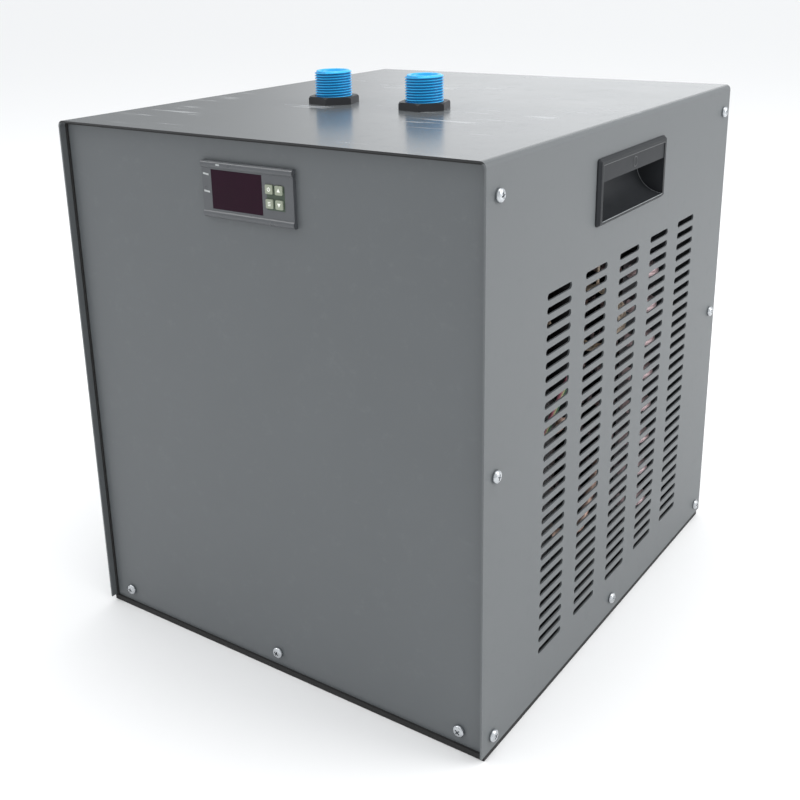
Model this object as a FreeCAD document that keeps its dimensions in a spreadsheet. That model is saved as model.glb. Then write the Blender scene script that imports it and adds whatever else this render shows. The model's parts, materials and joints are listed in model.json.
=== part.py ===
"""Aquarium chiller: a folded sheet cabinet round a small refrigeration circuit.

Millimetres. The origin lies on the floor under the middle of the cabinet, +Z is up,
the control panel looks along -Y and the slotted wall is the one at +X.
"""
import FreeCAD, Part
import math
import os

import Sketcher
from FreeCAD import Placement, Rotation, Vector

doc = FreeCAD.newDocument("AquariumChiller")
sheet = doc.addObject("Spreadsheet::Sheet", "Sizes")
nodes = []


class Size:
    """A length with its number and the formula on the sheet that gives it."""

    def __init__(self, number, formula):
        self.number = float(number)
        self.formula = formula

    def __add__(self, other):
        return Size(self.number + number(other), f"({self.formula} + {formula(other)})")

    def __radd__(self, other):
        return Size(number(other) + self.number, f"({formula(other)} + {self.formula})")

    def __sub__(self, other):
        return Size(self.number - number(other), f"({self.formula} - {formula(other)})")

    def __rsub__(self, other):
        return Size(number(other) - self.number, f"({formula(other)} - {self.formula})")

    def __mul__(self, other):
        return Size(self.number * number(other), f"({self.formula} * {formula(other)})")

    def __rmul__(self, other):
        return Size(number(other) * self.number, f"({formula(other)} * {self.formula})")

    def __truediv__(self, other):
        return Size(self.number / number(other), f"({self.formula} / {formula(other)})")

    def __neg__(self):
        return Size(-self.number, f"(0 - {self.formula})")


def number(value):
    """The plain number of a size or of a number."""
    return value.number if isinstance(value, Size) else float(value)


def formula(value):
    """The formula of a size, or a number as text."""
    return value.formula if isinstance(value, Size) else f"{value:.6f}"


def size(alias, value):
    """Writes one driving dimension on the sheet and gives it back as a size."""
    size.row += 1
    sheet.set(f"A{size.row}", alias.replace("_", " "))
    sheet.set(f"B{size.row}", str(value))
    sheet.setAlias(f"B{size.row}", alias)
    return Size(value, f"Sizes.{alias}")


size.row = 0


# Cabinet
cabinet_width = size("cabinet_width", 330.0)
cabinet_depth = size("cabinet_depth", 380.0)
cabinet_height = size("cabinet_height", 367.0)
foot_height = size("foot_height", 4.0)
cover_gauge = size("cover_gauge", 1.2)
cover_bend = size("cover_bend", 4.0)
panel_recess = size("panel_recess", 5.75)
panel_gauge = size("panel_gauge", 1.2)
panel_flange = size("panel_flange", 18.0)
panel_fold = size("panel_fold", 2.0)
corner_relief = size("corner_relief", 10.0)
tray_gauge = size("tray_gauge", 1.2)
tray_flange = size("tray_flange", 18.0)
sheet_gap = size("sheet_gap", 0.5)

# Slotted wall
vent_length = size("vent_length", 32.5)
vent_tall = size("vent_tall", 4.4)
vent_columns = 5
vent_column_pitch = size("vent_column_pitch", 52.35)
vent_row_pitch = size("vent_row_pitch", 8.625)
vent_middle = size("vent_middle", 3.95)
vent_bottom = size("vent_bottom", 34.0)
vent_headroom = size("vent_headroom", 91.0)

# Rear panel
grille_columns = 3
grille_rows = 19
gland_radius = size("gland_radius", 8.0)
gland_flange = size("gland_flange_radius", 11.0)
gland_proud = size("gland_proud", 4.5)
gland_inset = size("gland_inset", 47.0)
gland_stem = size("gland_stem", 6.0)
gland_low = size("gland_low", 40.0)
gland_bore = size("gland_bore_radius", 3.6)

# Cabinet screws
screw_head = size("screw_head_radius", 4.75)
screw_crown = size("screw_crown_radius", 3.0)
screw_head_height = size("screw_head_height", 3.0)
screw_rim = size("screw_rim", 1.2)
screw_shank = size("screw_shank_radius", 2.4)
screw_reach = size("screw_reach", 9.0)
screw_clearance = size("screw_clearance", 0.3)
side_screw_inset = size("side_screw_inset", 13.0)
side_screw_drop = size("side_screw_drop", 19.5)
side_screw_lift = size("side_screw_lift", 2.5)
side_screw_low = size("side_screw_low", 10.0)
side_screw_tray = size("side_screw_tray", 12.0)
front_screw_inset = size("front_screw_inset", 19.0)

# Feet
foot_radius = size("foot_radius", 12.0)
foot_stem = size("foot_stem_radius", 4.0)
foot_cap = size("foot_cap_radius", 6.0)
foot_cap_height = size("foot_cap_height", 2.5)
foot_flare = size("foot_flare", 1.0)
foot_inset_x = size("foot_inset_x", 28.0)
foot_inset_y = size("foot_inset_y", 30.0)
push_fit = size("push_fit", 0.2)

# Carrying handles
handle_length = size("handle_length", 109.0)
handle_tall = size("handle_tall", 42.5)
handle_drop = size("handle_drop", 41.5)
handle_proud = size("handle_proud", 2.7)
handle_corner = size("handle_corner", 2.2)
handle_edge = size("handle_edge", 1.8)
handle_border = size("handle_border", 4.0)
handle_recess = size("handle_recess", 0.5)
handle_wall = size("handle_wall", 1.6)
handle_cut_round = size("handle_cut_round", 1.0)
handle_strip = size("handle_strip", 2.6)
grip_scoop = size("grip_scoop_radius", 20.0)
grip_low = size("grip_low", 18.4)
grip_high = size("grip_high", 6.5)
grip_ceiling = size("grip_ceiling", 16.0)
handle_fit = size("handle_fit", 0.4)

# Water connectors
connector_middle = size("connector_middle_x", -12.5)
connector_spacing = size("connector_spacing", 78.0)
connector_setback = size("connector_y", -33.0)
connector_reach = size("connector_reach", 23.3)
thread_radius = size("thread_radius", 13.25)
connector_bore = size("connector_bore_radius", 9.5)
connector_neck = size("connector_neck_radius", 15.0)
connector_collar = size("connector_collar_radius", 18.0)
collar_height = size("collar_height", 5.0)
gasket_thickness = size("gasket_thickness", 1.5)
spigot_radius = size("spigot_radius", 14.0)
spigot_depth = size("spigot_depth", 11.0)
nut_across_flats = size("nut_across_flats", 32.0)
nut_height = size("nut_height", 5.3)
nut_turn = -12.0
thread_clearance = size("thread_clearance", 0.25)
thread_lead = size("thread_lead", 1.0)
thread_relief = size("thread_relief", 0.3)
thread_runout = size("thread_runout", 0.7)

# Controller
controller_width = size("controller_width", 72.5)
controller_tall = size("controller_tall", 35.5)
controller_x = size("controller_x", -1.4)
controller_drop = size("controller_drop", 34.0)
controller_rail = size("controller_rail_radius", 2.4)
rail_proud = size("rail_proud", 1.1)
controller_face = size("controller_face_proud", 2.65)
controller_body_inset = size("controller_body_inset", 2.4)
controller_deep = size("controller_deep", 56.0)
controller_wall = size("controller_wall", 1.8)
window_width = size("window_width", 40.7)
window_tall = size("window_tall", 24.4)
window_aside = size("window_aside", -8.25)
window_lift = size("window_lift", 0.2)
window_thickness = size("window_thickness", 1.3)
window_gap = size("window_gap", 0.1)
window_ledge = size("window_ledge", 3.0)
button_side = size("button_side", 5.6)
button_round = size("button_round", 0.8)
button_proud = size("button_proud", 1.0)
button_pitch_x = size("button_pitch_x", 7.5)
button_pitch_z = size("button_pitch_z", 8.7)
button_aside = size("button_aside", 21.9)
button_lift = size("button_lift", 0.25)
button_gap = size("button_gap", 0.2)
button_lip = size("button_lip", 0.6)
button_lip_deep = size("button_lip_deep", 1.0)
button_stem = size("button_stem", 3.0)
button_travel = size("button_travel", 0.4)
button_slack = size("button_slack", 0.1)
board_setback = size("board_setback", 9.4)
board_thickness = size("board_thickness", 1.6)
board_fit = size("board_fit", 0.3)
switch_side = size("switch_side", 6.0)
switch_body = size("switch_body", 3.2)
switch_plunger = size("switch_plunger", 1.2)
plunger_radius = size("plunger_radius", 1.6)
digits_width = size("digits_width", 36.0)
digits_tall = size("digits_tall", 18.0)
digits_deep = size("digits_deep", 7.5)
relay_aside = size("relay_aside", 19.0)
relay_width = size("relay_width", 19.0)
relay_tall = size("relay_tall", 15.0)
relay_deep = size("relay_deep", 15.0)
transformer_aside = size("transformer_aside", -16.5)
transformer_width = size("transformer_width", 24.0)
transformer_tall = size("transformer_tall", 18.0)
transformer_deep = size("transformer_deep", 18.0)
back_step = size("back_step", 3.0)
cage_count = 6
cage_row = size("cage_row", 60.0)
cage_tall = size("cage_tall", 11.0)
cage_deep = size("cage_deep", 11.0)
cage_mouth = size("cage_mouth", 6.0)
cage_step = size("cage_step", 4.0)
clip_gap = size("clip_gap", 0.2)
clip_thickness = size("clip_thickness", 2.4)
clip_length = size("clip_length", 30.0)
clip_wide = size("clip_wide", 12.0)
clip_toe = size("clip_toe", 5.0)
clip_toe_deep = size("clip_toe_deep", 4.0)
clip_toe_wide = size("clip_toe_wide", 20.0)

# Evaporator barrel, lying under the top of the cabinet
barrel_radius = size("barrel_radius", 50.0)
barrel_wall = size("barrel_wall", 4.0)
barrel_length = size("barrel_length", 188.0)
barrel_axis_drop = size("barrel_axis_drop", 71.0)
barrel_boss = size("barrel_boss_radius", 19.0)
barrel_lid = size("barrel_lid_thickness", 10.0)
barrel_rim = size("barrel_rim_width", 8.0)
foam_thickness = size("foam_thickness", 8.0)
foam_gap = size("foam_gap", 0.3)
stand_width = size("stand_width", 54.0)
stand_gauge = size("stand_gauge", 1.5)
stand_foot = size("stand_foot", 16.0)
stand_setback = size("stand_setback", 38.0)

# Compressor
compressor_x = size("compressor_x", 70.0)
compressor_y = size("compressor_y", -65.0)
compressor_radius = size("compressor_radius", 70.0)
compressor_headroom = size("compressor_headroom", 35.5)
compressor_seam = size("compressor_seam", 96.0)
seam_width = size("seam_width", 2.5)
seam_tall = size("seam_tall", 6.0)
grommet_height = size("grommet_height", 12.0)
grommet_radius = size("grommet_radius", 11.0)
ear_spread = size("ear_spread", 60.0)
ear_thickness = size("ear_thickness", 3.0)
mount_bolt = size("mount_bolt_radius", 3.0)
terminal_wide = size("terminal_wide", 44.0)
terminal_tall = size("terminal_tall", 56.0)
terminal_deep = size("terminal_deep", 24.0)
terminal_lift = size("terminal_lift", 10.0)
terminal_round = size("terminal_round", 5.0)

# Condenser
tube_radius = size("tube_radius", 4.75)
tube_rows = 8
tube_pitch = size("tube_pitch", 26.4)
tube_bottom = size("tube_bottom", 60.7)
tube_depth_pitch = size("tube_depth_pitch", 22.0)
condenser_setback = size("condenser_setback", 120.0)
condenser_deep = size("condenser_deep", 44.0)
bend_clearance = size("bend_clearance", 5.0)
core_inset = size("core_inset", 38.0)
fin_gauge = size("fin_gauge", 0.4)
fin_pitch = size("fin_pitch", 6.0)
end_plate = size("end_plate_gauge", 1.2)
core_margin = size("core_margin", 13.0)
tube_stub = size("tube_stub", 14.0)
end_foot = size("end_plate_foot", 14.0)

# Fan
shroud_gauge = size("shroud_gauge", 1.2)
shroud_drop = size("shroud_drop", 10.0)
fan_radius = size("fan_radius", 80.0)
fan_tip_gap = size("fan_tip_gap", 8.0)
collar_deep = size("collar_deep", 24.0)
hub_radius = size("hub_radius", 20.0)
hub_deep = size("hub_deep", 26.0)
hub_wall = size("hub_wall", 2.0)
blade_count = 5
blade_root = size("blade_root_chord", 26.0)
blade_tip = size("blade_tip_chord", 58.0)
blade_thickness = size("blade_thickness", 1.6)
shaft_radius = size("shaft_radius", 3.0)
motor_radius = size("motor_radius", 34.0)
motor_deep = size("motor_deep", 42.0)
motor_gap = size("motor_gap", 4.0)
running_clearance = size("running_clearance", 0.08)
bracket_deep = size("bracket_deep", 12.0)
bracket_gauge = size("bracket_gauge", 1.5)
bracket_wide = size("bracket_wide", 12.0)

# Lid and water side
lid_screw = size("lid_screw_radius", 2.1)
lid_screw_ring = size("lid_screw_ring", 54.0)
lid_screw_head = size("lid_screw_head", 4.0)
lid_screw_count = 6
water_tube = size("water_tube_radius", 4.0)
water_turn = size("water_turn_radius", 30.0)
water_leg = size("water_leg_radius", 40.0)
water_start = size("water_start", 16.5)
water_stop = size("water_stop", 23.5)
water_stub = size("water_stub", 8.0)
water_turns = 6
probe_radius = size("probe_radius", 3.0)
probe_ring = size("probe_ring", 20.0)
probe_reach = size("probe_reach", 50.0)
probe_head = size("probe_head", 4.5)

# Refrigerant side
joint_gap = size("joint_gap", 0.3)
hot_tube = size("hot_tube_radius", 3.2)
hot_bend = size("hot_bend_radius", 8.0)
hot_run_gap = size("hot_run_gap", 9.5)
hot_run_drop = size("hot_run_drop", 23.6)
shell_entry = size("shell_entry", 55.0)
suction_offset = size("suction_offset", 80.0)
suction_bend = size("suction_bend_radius", 7.0)
coil_end_reach = size("coil_end_reach", 8.5)
drier_radius = size("drier_radius", 9.0)
drier_length = size("drier_length", 66.0)
drier_neck = size("drier_neck", 8.0)
drier_front = size("drier_front", 18.0)
drier_low = size("drier_low", 14.0)
fine_tube = size("fine_tube_radius", 1.2)
fine_run_front = size("fine_run_front", 15.0)
fine_loop = size("fine_loop_radius", 23.0)
fine_loop_x = size("fine_loop_x", 130.0)
fine_loop_drop = size("fine_loop_drop", 41.0)
fine_loop_pitch = size("fine_loop_pitch", 5.0)
fine_crossing = size("fine_crossing", 13.0)
fine_rise = size("fine_rise", 8.0)
fine_turns = 3
fine_return_x = size("fine_return_x", 107.0)
process_low = size("process_low", 57.0)
process_offset = size("process_offset", 67.0)
process_lift = size("process_lift", 3.0)
process_run = size("process_run", 34.0)
process_rise = size("process_rise", 48.0)

# Places worked out from the sizes
half_width = cabinet_width / 2
half_depth = cabinet_depth / 2
cover_bottom = foot_height
cover_top = foot_height + cabinet_height
inner_x = half_width - cover_gauge
inner_top = cover_top - cover_gauge
face_y = half_depth - panel_recess
face_back_y = face_y - panel_gauge
tray_top = foot_height + tray_gauge
screw_hole = screw_shank + screw_clearance
side_screw_top = cabinet_height - side_screw_drop
side_screw_middle = cabinet_height / 2 + side_screw_lift
front_screw_spread = half_width - front_screw_inset
vent_rows = int(number(cabinet_height - vent_bottom - vent_headroom) / number(vent_row_pitch)) + 1
handle_middle = cabinet_height - handle_drop
grip_length = handle_length - handle_border * 2
controller_middle = cabinet_height - controller_drop
gland_x = half_width - gland_inset
condenser_middle = half_depth - condenser_setback
gland_z = cover_bottom + gland_low
core_left = core_inset - half_width
core_right = inner_x - bend_clearance - tube_depth_pitch / 2 - tube_radius - end_plate
fan_x = (core_left + core_right) / 2
fan_z = cover_bottom + tube_bottom + tube_pitch * ((tube_rows - 1) / 2)

RIGHT = Rotation(Vector(0, 1, 0), 90)
LEFT = Rotation(Vector(0, 1, 0), -90)
REAR = Rotation(Vector(1, 0, 0), -90)
FRONT = Rotation(Vector(1, 0, 0), 90)
UP = Rotation()


def bind(item, name, value):
    """Ties one property to the sheet, or sets it when it is a plain number."""
    if isinstance(value, Size):
        item.setExpression(name, value.formula)
    else:
        setattr(item, name, value)


def place(item, at, turn=UP):
    """Puts an object at a point, each coordinate tied to the sheet."""
    item.Placement = Placement(Vector(*(number(part) for part in at)), turn)
    for axis, part in zip("xyz", at):
        if isinstance(part, Size):
            item.setExpression(f"Placement.Base.{axis}", part.formula)
    return item


def box(name, low, high):
    """A block between two corners."""
    item = doc.addObject("Part::Box", name)
    for side, low_end, high_end in zip(("Length", "Width", "Height"), low, high):
        bind(item, side, high_end - low_end)
    return place(item, low)


def rod(name, radius, length, at, turn=UP):
    """A round bar from a point along a direction."""
    item = doc.addObject("Part::Cylinder", name)
    bind(item, "Radius", radius)
    bind(item, "Height", length)
    return place(item, at, turn)


def taper(name, radius, end_radius, length, at, turn=UP):
    """A round taper from a point along a direction."""
    item = doc.addObject("Part::Cone", name)
    bind(item, "Radius1", radius)
    bind(item, "Radius2", end_radius)
    bind(item, "Height", length)
    return place(item, at, turn)


def fuse(name, pieces):
    """Several solids made one."""
    item = doc.addObject("Part::MultiFuse", name)
    item.Shapes = list(pieces)
    return item


def common(name, pieces):
    """What several solids share."""
    item = doc.addObject("Part::MultiCommon", name)
    item.Shapes = list(pieces)
    return item


def cut(name, base, tools):
    """A solid with others taken out of it."""
    tools = list(tools)
    item = doc.addObject("Part::Cut", name)
    item.Base = base
    item.Tool = tools[0] if len(tools) == 1 else fuse(name + "_cuts", tools)
    return item


def group(name, pieces):
    """Like pieces kept together as separate solids."""
    item = doc.addObject("Part::Compound", name)
    item.Links = list(pieces)
    return item


def node(item, name):
    """Names a finished sub-part."""
    item.Label = name
    nodes.append(item)
    return item


def body(name):
    return doc.addObject("PartDesign::Body", name)


def sketch(owner, name, role, offset=0.0):
    """A sketch on one of its own body's origin planes, pushed along the normal."""
    item = owner.newObject("Sketcher::SketchObject", name)
    plane = next(part for part in owner.Origin.OriginFeatures if part.Role == role)
    item.AttachmentSupport = [(plane, "")]
    item.MapMode = "FlatFace"
    item.AttachmentOffset = Placement(Vector(0, 0, number(offset)), Rotation())
    if isinstance(offset, Size):
        item.setExpression("AttachmentOffset.Base.z", offset.formula)
    return item


def fix_point(item, edge, end, at):
    """Holds one point of a sketch at two coordinates from its origin."""
    for kind, part in zip(("DistanceX", "DistanceY"), at):
        index = item.addConstraint(Sketcher.Constraint(kind, -1, 1, edge, end, number(part)))
        if isinstance(part, Size):
            item.setExpression(f"Constraints[{index}]", part.formula)


def fix_radius(item, edge, radius):
    """Holds the radius of a circle or an arc."""
    index = item.addConstraint(Sketcher.Constraint("Radius", edge, number(radius)))
    if isinstance(radius, Size):
        item.setExpression(f"Constraints[{index}]", radius.formula)


def polygon(item, points):
    """A closed outline of straight lines."""
    flat = [Vector(number(u), number(v), 0) for u, v in points]
    first = item.GeometryCount
    for start, end in zip(flat, flat[1:] + flat[:1]):
        item.addGeometry(Part.LineSegment(start, end), False)
    count = len(flat)
    for index in range(count):
        edge = first + index
        after = first + (index + 1) % count
        item.addConstraint(Sketcher.Constraint("Coincident", edge, 2, after, 1))
    for index, point in enumerate(points):
        fix_point(item, first + index, 1, point)


def circle(item, centre, radius):
    """One full circle."""
    flat = Vector(number(centre[0]), number(centre[1]), 0)
    edge = item.addGeometry(Part.Circle(flat, Vector(0, 0, 1), number(radius)), False)
    fix_point(item, edge, 3, centre)
    fix_radius(item, edge, radius)


def rounded(item, corners, radius):
    """A closed outline whose corners, given by their arcs' centres anticlockwise, are round."""
    centres = [Vector(number(u), number(v), 0) for u, v in corners]
    reach = number(radius)
    count = len(centres)
    turns = []
    for index in range(count):
        ahead = centres[(index + 1) % count] - centres[index]
        turns.append(math.atan2(ahead.y, ahead.x) - math.pi / 2)
    first = item.GeometryCount
    for index, centre in enumerate(centres):
        start = turns[index - 1]
        end = turns[index]
        if end < start:
            end += 2 * math.pi
        ring = Part.Circle(centre, Vector(0, 0, 1), reach)
        item.addGeometry(Part.ArcOfCircle(ring, start, end), False)
        out = Vector(math.cos(end), math.sin(end), 0) * reach
        item.addGeometry(Part.LineSegment(centre + out, centres[(index + 1) % count] + out), False)
    for index, corner in enumerate(corners):
        arc = first + 2 * index
        after = first + (2 * index + 2) % (2 * count)
        item.addConstraint(Sketcher.Constraint("Tangent", arc, 2, arc + 1, 1))
        item.addConstraint(Sketcher.Constraint("Tangent", arc + 1, 2, after, 1))
        fix_point(item, arc, 3, corner)
        fix_radius(item, arc, radius)


def rounded_rectangle(item, low, high, radius):
    """A rectangle between two corners with round corners."""
    left, bottom = low[0] + radius, low[1] + radius
    right, top = high[0] - radius, high[1] - radius
    rounded(item, ((left, bottom), (right, bottom), (right, top), (left, top)), radius)


def pad(owner, profile, length, reverse=False, symmetric=False):
    """Thickens a sketch."""
    item = owner.newObject("PartDesign::Pad", profile.Name + "_pad")
    item.Profile = profile
    bind(item, "Length", length)
    item.Reversed = reverse
    item.SideType = "Symmetric" if symmetric else "One side"
    return item


def pocket(owner, profile, length=None, reverse=False, symmetric=False):
    """Cuts a sketch away, right through where no length is given."""
    item = owner.newObject("PartDesign::Pocket", profile.Name + "_pocket")
    item.Profile = profile
    item.SideType = "Symmetric" if symmetric else "One side"
    item.Reversed = reverse
    if length is None:
        item.Type = "ThroughAll"
    else:
        bind(item, "Length", length)
    return item


def revolve(owner, profile):
    """Turns a sketch about the vertical axis of its own plane."""
    item = owner.newObject("PartDesign::Revolution", profile.Name + "_turned")
    item.Profile = profile
    item.ReferenceAxis = (profile, ["V_Axis"])
    item.Angle = 360
    return item


def round_edges(owner, name, radius, chosen):
    """Rounds the edges of a body's latest feature that a test picks out."""
    doc.recompute()
    base = owner.Tip
    names = [f"Edge{i + 1}" for i, edge in enumerate(base.Shape.Edges) if chosen(edge)]
    item = owner.newObject("PartDesign::Fillet", name)
    item.Base = (base, names)
    bind(item, "Radius", radius)
    owner.Tip = item
    return item


def bevel_edges(owner, name, width, chosen):
    """Chamfers the edges of a body's latest feature that a test picks out."""
    doc.recompute()
    base = owner.Tip
    names = [f"Edge{i + 1}" for i, edge in enumerate(base.Shape.Edges) if chosen(edge)]
    item = owner.newObject("PartDesign::Chamfer", name)
    item.Base = (base, names)
    bind(item, "Size", width)
    owner.Tip = item
    return item


def near(value, target, slack=0.01):
    return abs(value - number(target)) < slack


def runs_along(edge, axis):
    """Whether an edge is a straight line along one axis."""
    if len(edge.Vertexes) < 2:
        return False
    ahead = edge.Vertexes[1].Point - edge.Vertexes[0].Point
    across = [abs(ahead[index]) for index in range(3) if index != axis]
    return max(across) < 0.001 and abs(ahead[axis]) > 0.01


def side_screw_places():
    """Where the screws stand on each side wall, along Y and up Z."""
    rows = (side_screw_low, side_screw_middle, side_screw_top)
    ends = (side_screw_inset - half_depth, half_depth - side_screw_inset)
    return [(end, cover_bottom + row) for end in ends for row in rows]


tray_screw_place = (0.0, cover_bottom + side_screw_tray)
face_screw_places = [(x, cover_bottom + side_screw_low)
                     for x in (-front_screw_spread, 0.0, front_screw_spread)]
foot_places = [(x, y) for x in (foot_inset_x - half_width, half_width - foot_inset_x)
               for y in (foot_inset_y - half_depth, half_depth - foot_inset_y)]
connector_places = {
    "outlet": connector_middle - connector_spacing / 2,
    "inlet": connector_middle + connector_spacing / 2,
}


def cabinet_cover():
    """Left wall, top and right wall, folded from one sheet."""
    shell = body("cabinet_cover")
    fold = sketch(shell, "cover_fold", "XZ_Plane")
    polygon(fold, (
        (-half_width, cover_bottom),
        (-half_width, cover_top),
        (half_width, cover_top),
        (half_width, cover_bottom),
        (inner_x, cover_bottom),
        (inner_x, inner_top),
        (-inner_x, inner_top),
        (-inner_x, cover_bottom),
    ))
    pad(shell, fold, cabinet_depth, symmetric=True)

    def outer_bend(edge):
        point = edge.Vertexes[0].Point
        return runs_along(edge, 1) and near(abs(point.x), half_width) and near(point.z, cover_top)

    def inner_bend(edge):
        point = edge.Vertexes[0].Point
        return runs_along(edge, 1) and near(abs(point.x), inner_x) and near(point.z, inner_top)

    round_edges(shell, "cover_outer_bends", cover_bend, outer_bend)
    round_edges(shell, "cover_inner_bends", cover_bend - cover_gauge, inner_bend)

    openings = sketch(shell, "cover_side_openings", "YZ_Plane")
    middle = cover_bottom + handle_middle
    half_long = grip_length / 2 + handle_wall + handle_fit
    half_tall = grip_low + handle_wall + push_fit
    rounded_rectangle(openings, (-half_long, middle - half_tall),
                      (half_long, middle + half_tall), handle_cut_round)
    for place_y, place_z in side_screw_places() + [tray_screw_place]:
        circle(openings, (place_y, place_z), screw_hole)
    pocket(shell, openings, symmetric=True)

    ports = sketch(shell, "cover_port_holes", "XY_Plane")
    for port_x in connector_places.values():
        circle(ports, (port_x, connector_setback), thread_radius + thread_clearance)
    pocket(shell, ports, reverse=True)

    first_y = vent_middle - vent_column_pitch * ((vent_columns - 1) / 2)
    slot_field(shell, "cover_vents", "YZ_Plane", (first_y, cover_bottom + vent_bottom),
               (vent_column_pitch, vent_row_pitch), (vent_columns, vent_rows), reverse=True)
    return node(shell, "cabinet_cover")


def end_panel(name, side, back_relief):
    """A front or rear panel: a face with flanges folded back at its sides and top."""
    panel = body(name)
    outline = sketch(panel, name + "_outline", "XZ_Plane", face_y)
    polygon(outline, (
        (-inner_x, cover_bottom),
        (inner_x, cover_bottom),
        (inner_x, inner_top),
        (-inner_x, inner_top),
    ))
    pad(panel, outline, panel_flange, reverse=True)

    def top_corner(edge):
        point = edge.Vertexes[0].Point
        return runs_along(edge, 1) and near(abs(point.x), inner_x) and near(point.z, inner_top)

    round_edges(panel, name + "_corners", cover_bend, top_corner)

    def front_fold(edge):
        points = [vertex.Point for vertex in edge.Vertexes]
        on_face = all(near(point.y, -face_y) for point in points)
        return on_face and not all(near(point.z, cover_bottom) for point in points)

    round_edges(panel, name + "_folds", panel_fold, front_fold)
    hollow = sketch(panel, name + "_hollow", "XZ_Plane", face_back_y)
    within = inner_x - panel_gauge
    polygon(hollow, (
        (-within, cover_bottom - sheet_gap),
        (within, cover_bottom - sheet_gap),
        (within, inner_top - panel_gauge),
        (-within, inner_top - panel_gauge),
    ))
    pocket(panel, hollow, panel_flange)
    reliefs = sketch(panel, name + "_reliefs", "XZ_Plane", face_back_y)
    for left in (True, False):
        near_x = -inner_x - sheet_gap if left else inner_x - corner_relief
        far_x = -inner_x + corner_relief if left else inner_x + sheet_gap
        polygon(reliefs, (
            (near_x, inner_top - corner_relief),
            (far_x, inner_top - corner_relief),
            (far_x, inner_top + sheet_gap),
            (near_x, inner_top + sheet_gap),
        ))
        polygon(reliefs, (
            (near_x, cover_bottom - sheet_gap),
            (far_x, cover_bottom - sheet_gap),
            (far_x, tray_top + back_relief),
            (near_x, tray_top + back_relief),
        ))
    pocket(panel, reliefs, panel_flange)

    holes = sketch(panel, name + "_flange_holes", "YZ_Plane")
    for place_y, place_z in side_screw_places()[:3]:
        circle(holes, (place_y, place_z), screw_hole)
    pocket(panel, holes, symmetric=True)
    if side > 0:
        panel.Placement = Placement(Vector(), Rotation(Vector(0, 0, 1), 180))
    return panel


def front_panel():
    """Plain painted face with the controller's opening and three screw holes."""
    panel = end_panel("front_panel", -1, sheet_gap)
    middle = cover_bottom + controller_middle
    half_x = controller_width / 2 - controller_body_inset + push_fit
    half_z = controller_tall / 2 - controller_body_inset + push_fit
    openings = sketch(panel, "front_openings", "XZ_Plane", face_y)
    polygon(openings, (
        (controller_x - half_x, middle - half_z),
        (controller_x + half_x, middle - half_z),
        (controller_x + half_x, middle + half_z),
        (controller_x - half_x, middle + half_z),
    ))
    for place_x, place_z in face_screw_places:
        circle(openings, (place_x, place_z), screw_hole)
    pocket(panel, openings, panel_gauge * 2)
    return node(panel, "front_panel")


def slot_field(panel, name, plane, first, pitches, counts, reverse=False):
    """Punches one slot with round ends and repeats it in columns and rows."""
    slot = sketch(panel, name + "_slot", plane)
    half_slot = vent_length / 2 - vent_tall / 2
    across, up = first
    rounded(slot, ((across - half_slot, up), (across + half_slot, up)), vent_tall / 2)
    punched = pocket(panel, slot, reverse=reverse)
    field = panel.newObject("PartDesign::LinearPattern", name)
    field.Originals = [punched]
    field.Direction = (slot, ["V_Axis"])
    field.Occurrences = counts[1]
    bind(field, "Length", pitches[1] * (counts[1] - 1))
    field.Direction2 = (slot, ["H_Axis"])
    field.Occurrences2 = counts[0]
    bind(field, "Length2", pitches[0] * (counts[0] - 1))
    panel.Tip = field


def rear_panel():
    """Rear face with a field of air slots behind the fan and the cord inlet's hole."""
    panel = end_panel("rear_panel", 1, sheet_gap)
    openings = sketch(panel, "rear_openings", "XZ_Plane", face_y)
    for place_x, place_z in face_screw_places:
        circle(openings, (place_x, place_z), screw_hole)
    circle(openings, (gland_x, gland_z), gland_radius + push_fit)
    pocket(panel, openings, panel_gauge * 2)
    across = -fan_x - vent_column_pitch * ((grille_columns - 1) / 2)
    up = fan_z - vent_row_pitch * ((grille_rows - 1) / 2)
    slot_field(panel, "rear_slots", "XZ_Plane", (across, up),
               (vent_column_pitch, vent_row_pitch), (grille_columns, grille_rows))
    return node(panel, "rear_panel")


def base_tray():
    """Floor of the cabinet with four upturned flanges."""
    tray = body("base_tray")
    blank = sketch(tray, "tray_blank", "XY_Plane", cover_bottom)
    notch_y = panel_flange + sheet_gap
    polygon(blank, [(inner_x * sign_x, face_back_y * sign_y)
                    for sign_x, sign_y in ((-1, -1), (1, -1), (1, 1), (-1, 1))])
    pad(tray, blank, tray_flange)
    hollow = sketch(tray, "tray_hollow", "XY_Plane", tray_top)
    within_x = inner_x - tray_gauge
    within_y = face_back_y - tray_gauge
    polygon(hollow, ((-within_x, -within_y), (within_x, -within_y),
                     (within_x, within_y), (-within_x, within_y)))
    pocket(tray, hollow, tray_flange, reverse=True)
    reliefs = sketch(tray, "tray_reliefs", "XY_Plane", tray_top)
    for sign_x in (-1, 1):
        for sign_y in (-1, 1):
            outer_x = (inner_x + sheet_gap) * sign_x
            near_x = (inner_x - corner_relief) * sign_x
            outer_y = (face_back_y + sheet_gap) * sign_y
            near_y = (face_back_y - notch_y) * sign_y
            polygon(reliefs, ((near_x, near_y), (outer_x, near_y),
                              (outer_x, outer_y), (near_x, outer_y)))
    pocket(tray, reliefs, tray_flange, reverse=True)
    feet = sketch(tray, "tray_foot_holes", "XY_Plane", tray_top)
    for place_x, place_y in foot_places:
        circle(feet, (place_x, place_y), foot_stem + push_fit)
    pocket(tray, feet, tray_gauge * 2)
    faces = sketch(tray, "tray_face_holes", "XZ_Plane")
    for place_x, place_z in face_screw_places:
        circle(faces, (place_x, place_z), screw_hole)
    pocket(tray, faces, symmetric=True)
    sides = sketch(tray, "tray_side_holes", "YZ_Plane")
    circle(sides, tray_screw_place, screw_hole)
    pocket(tray, sides, symmetric=True)
    return node(tray, "base_tray")


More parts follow.
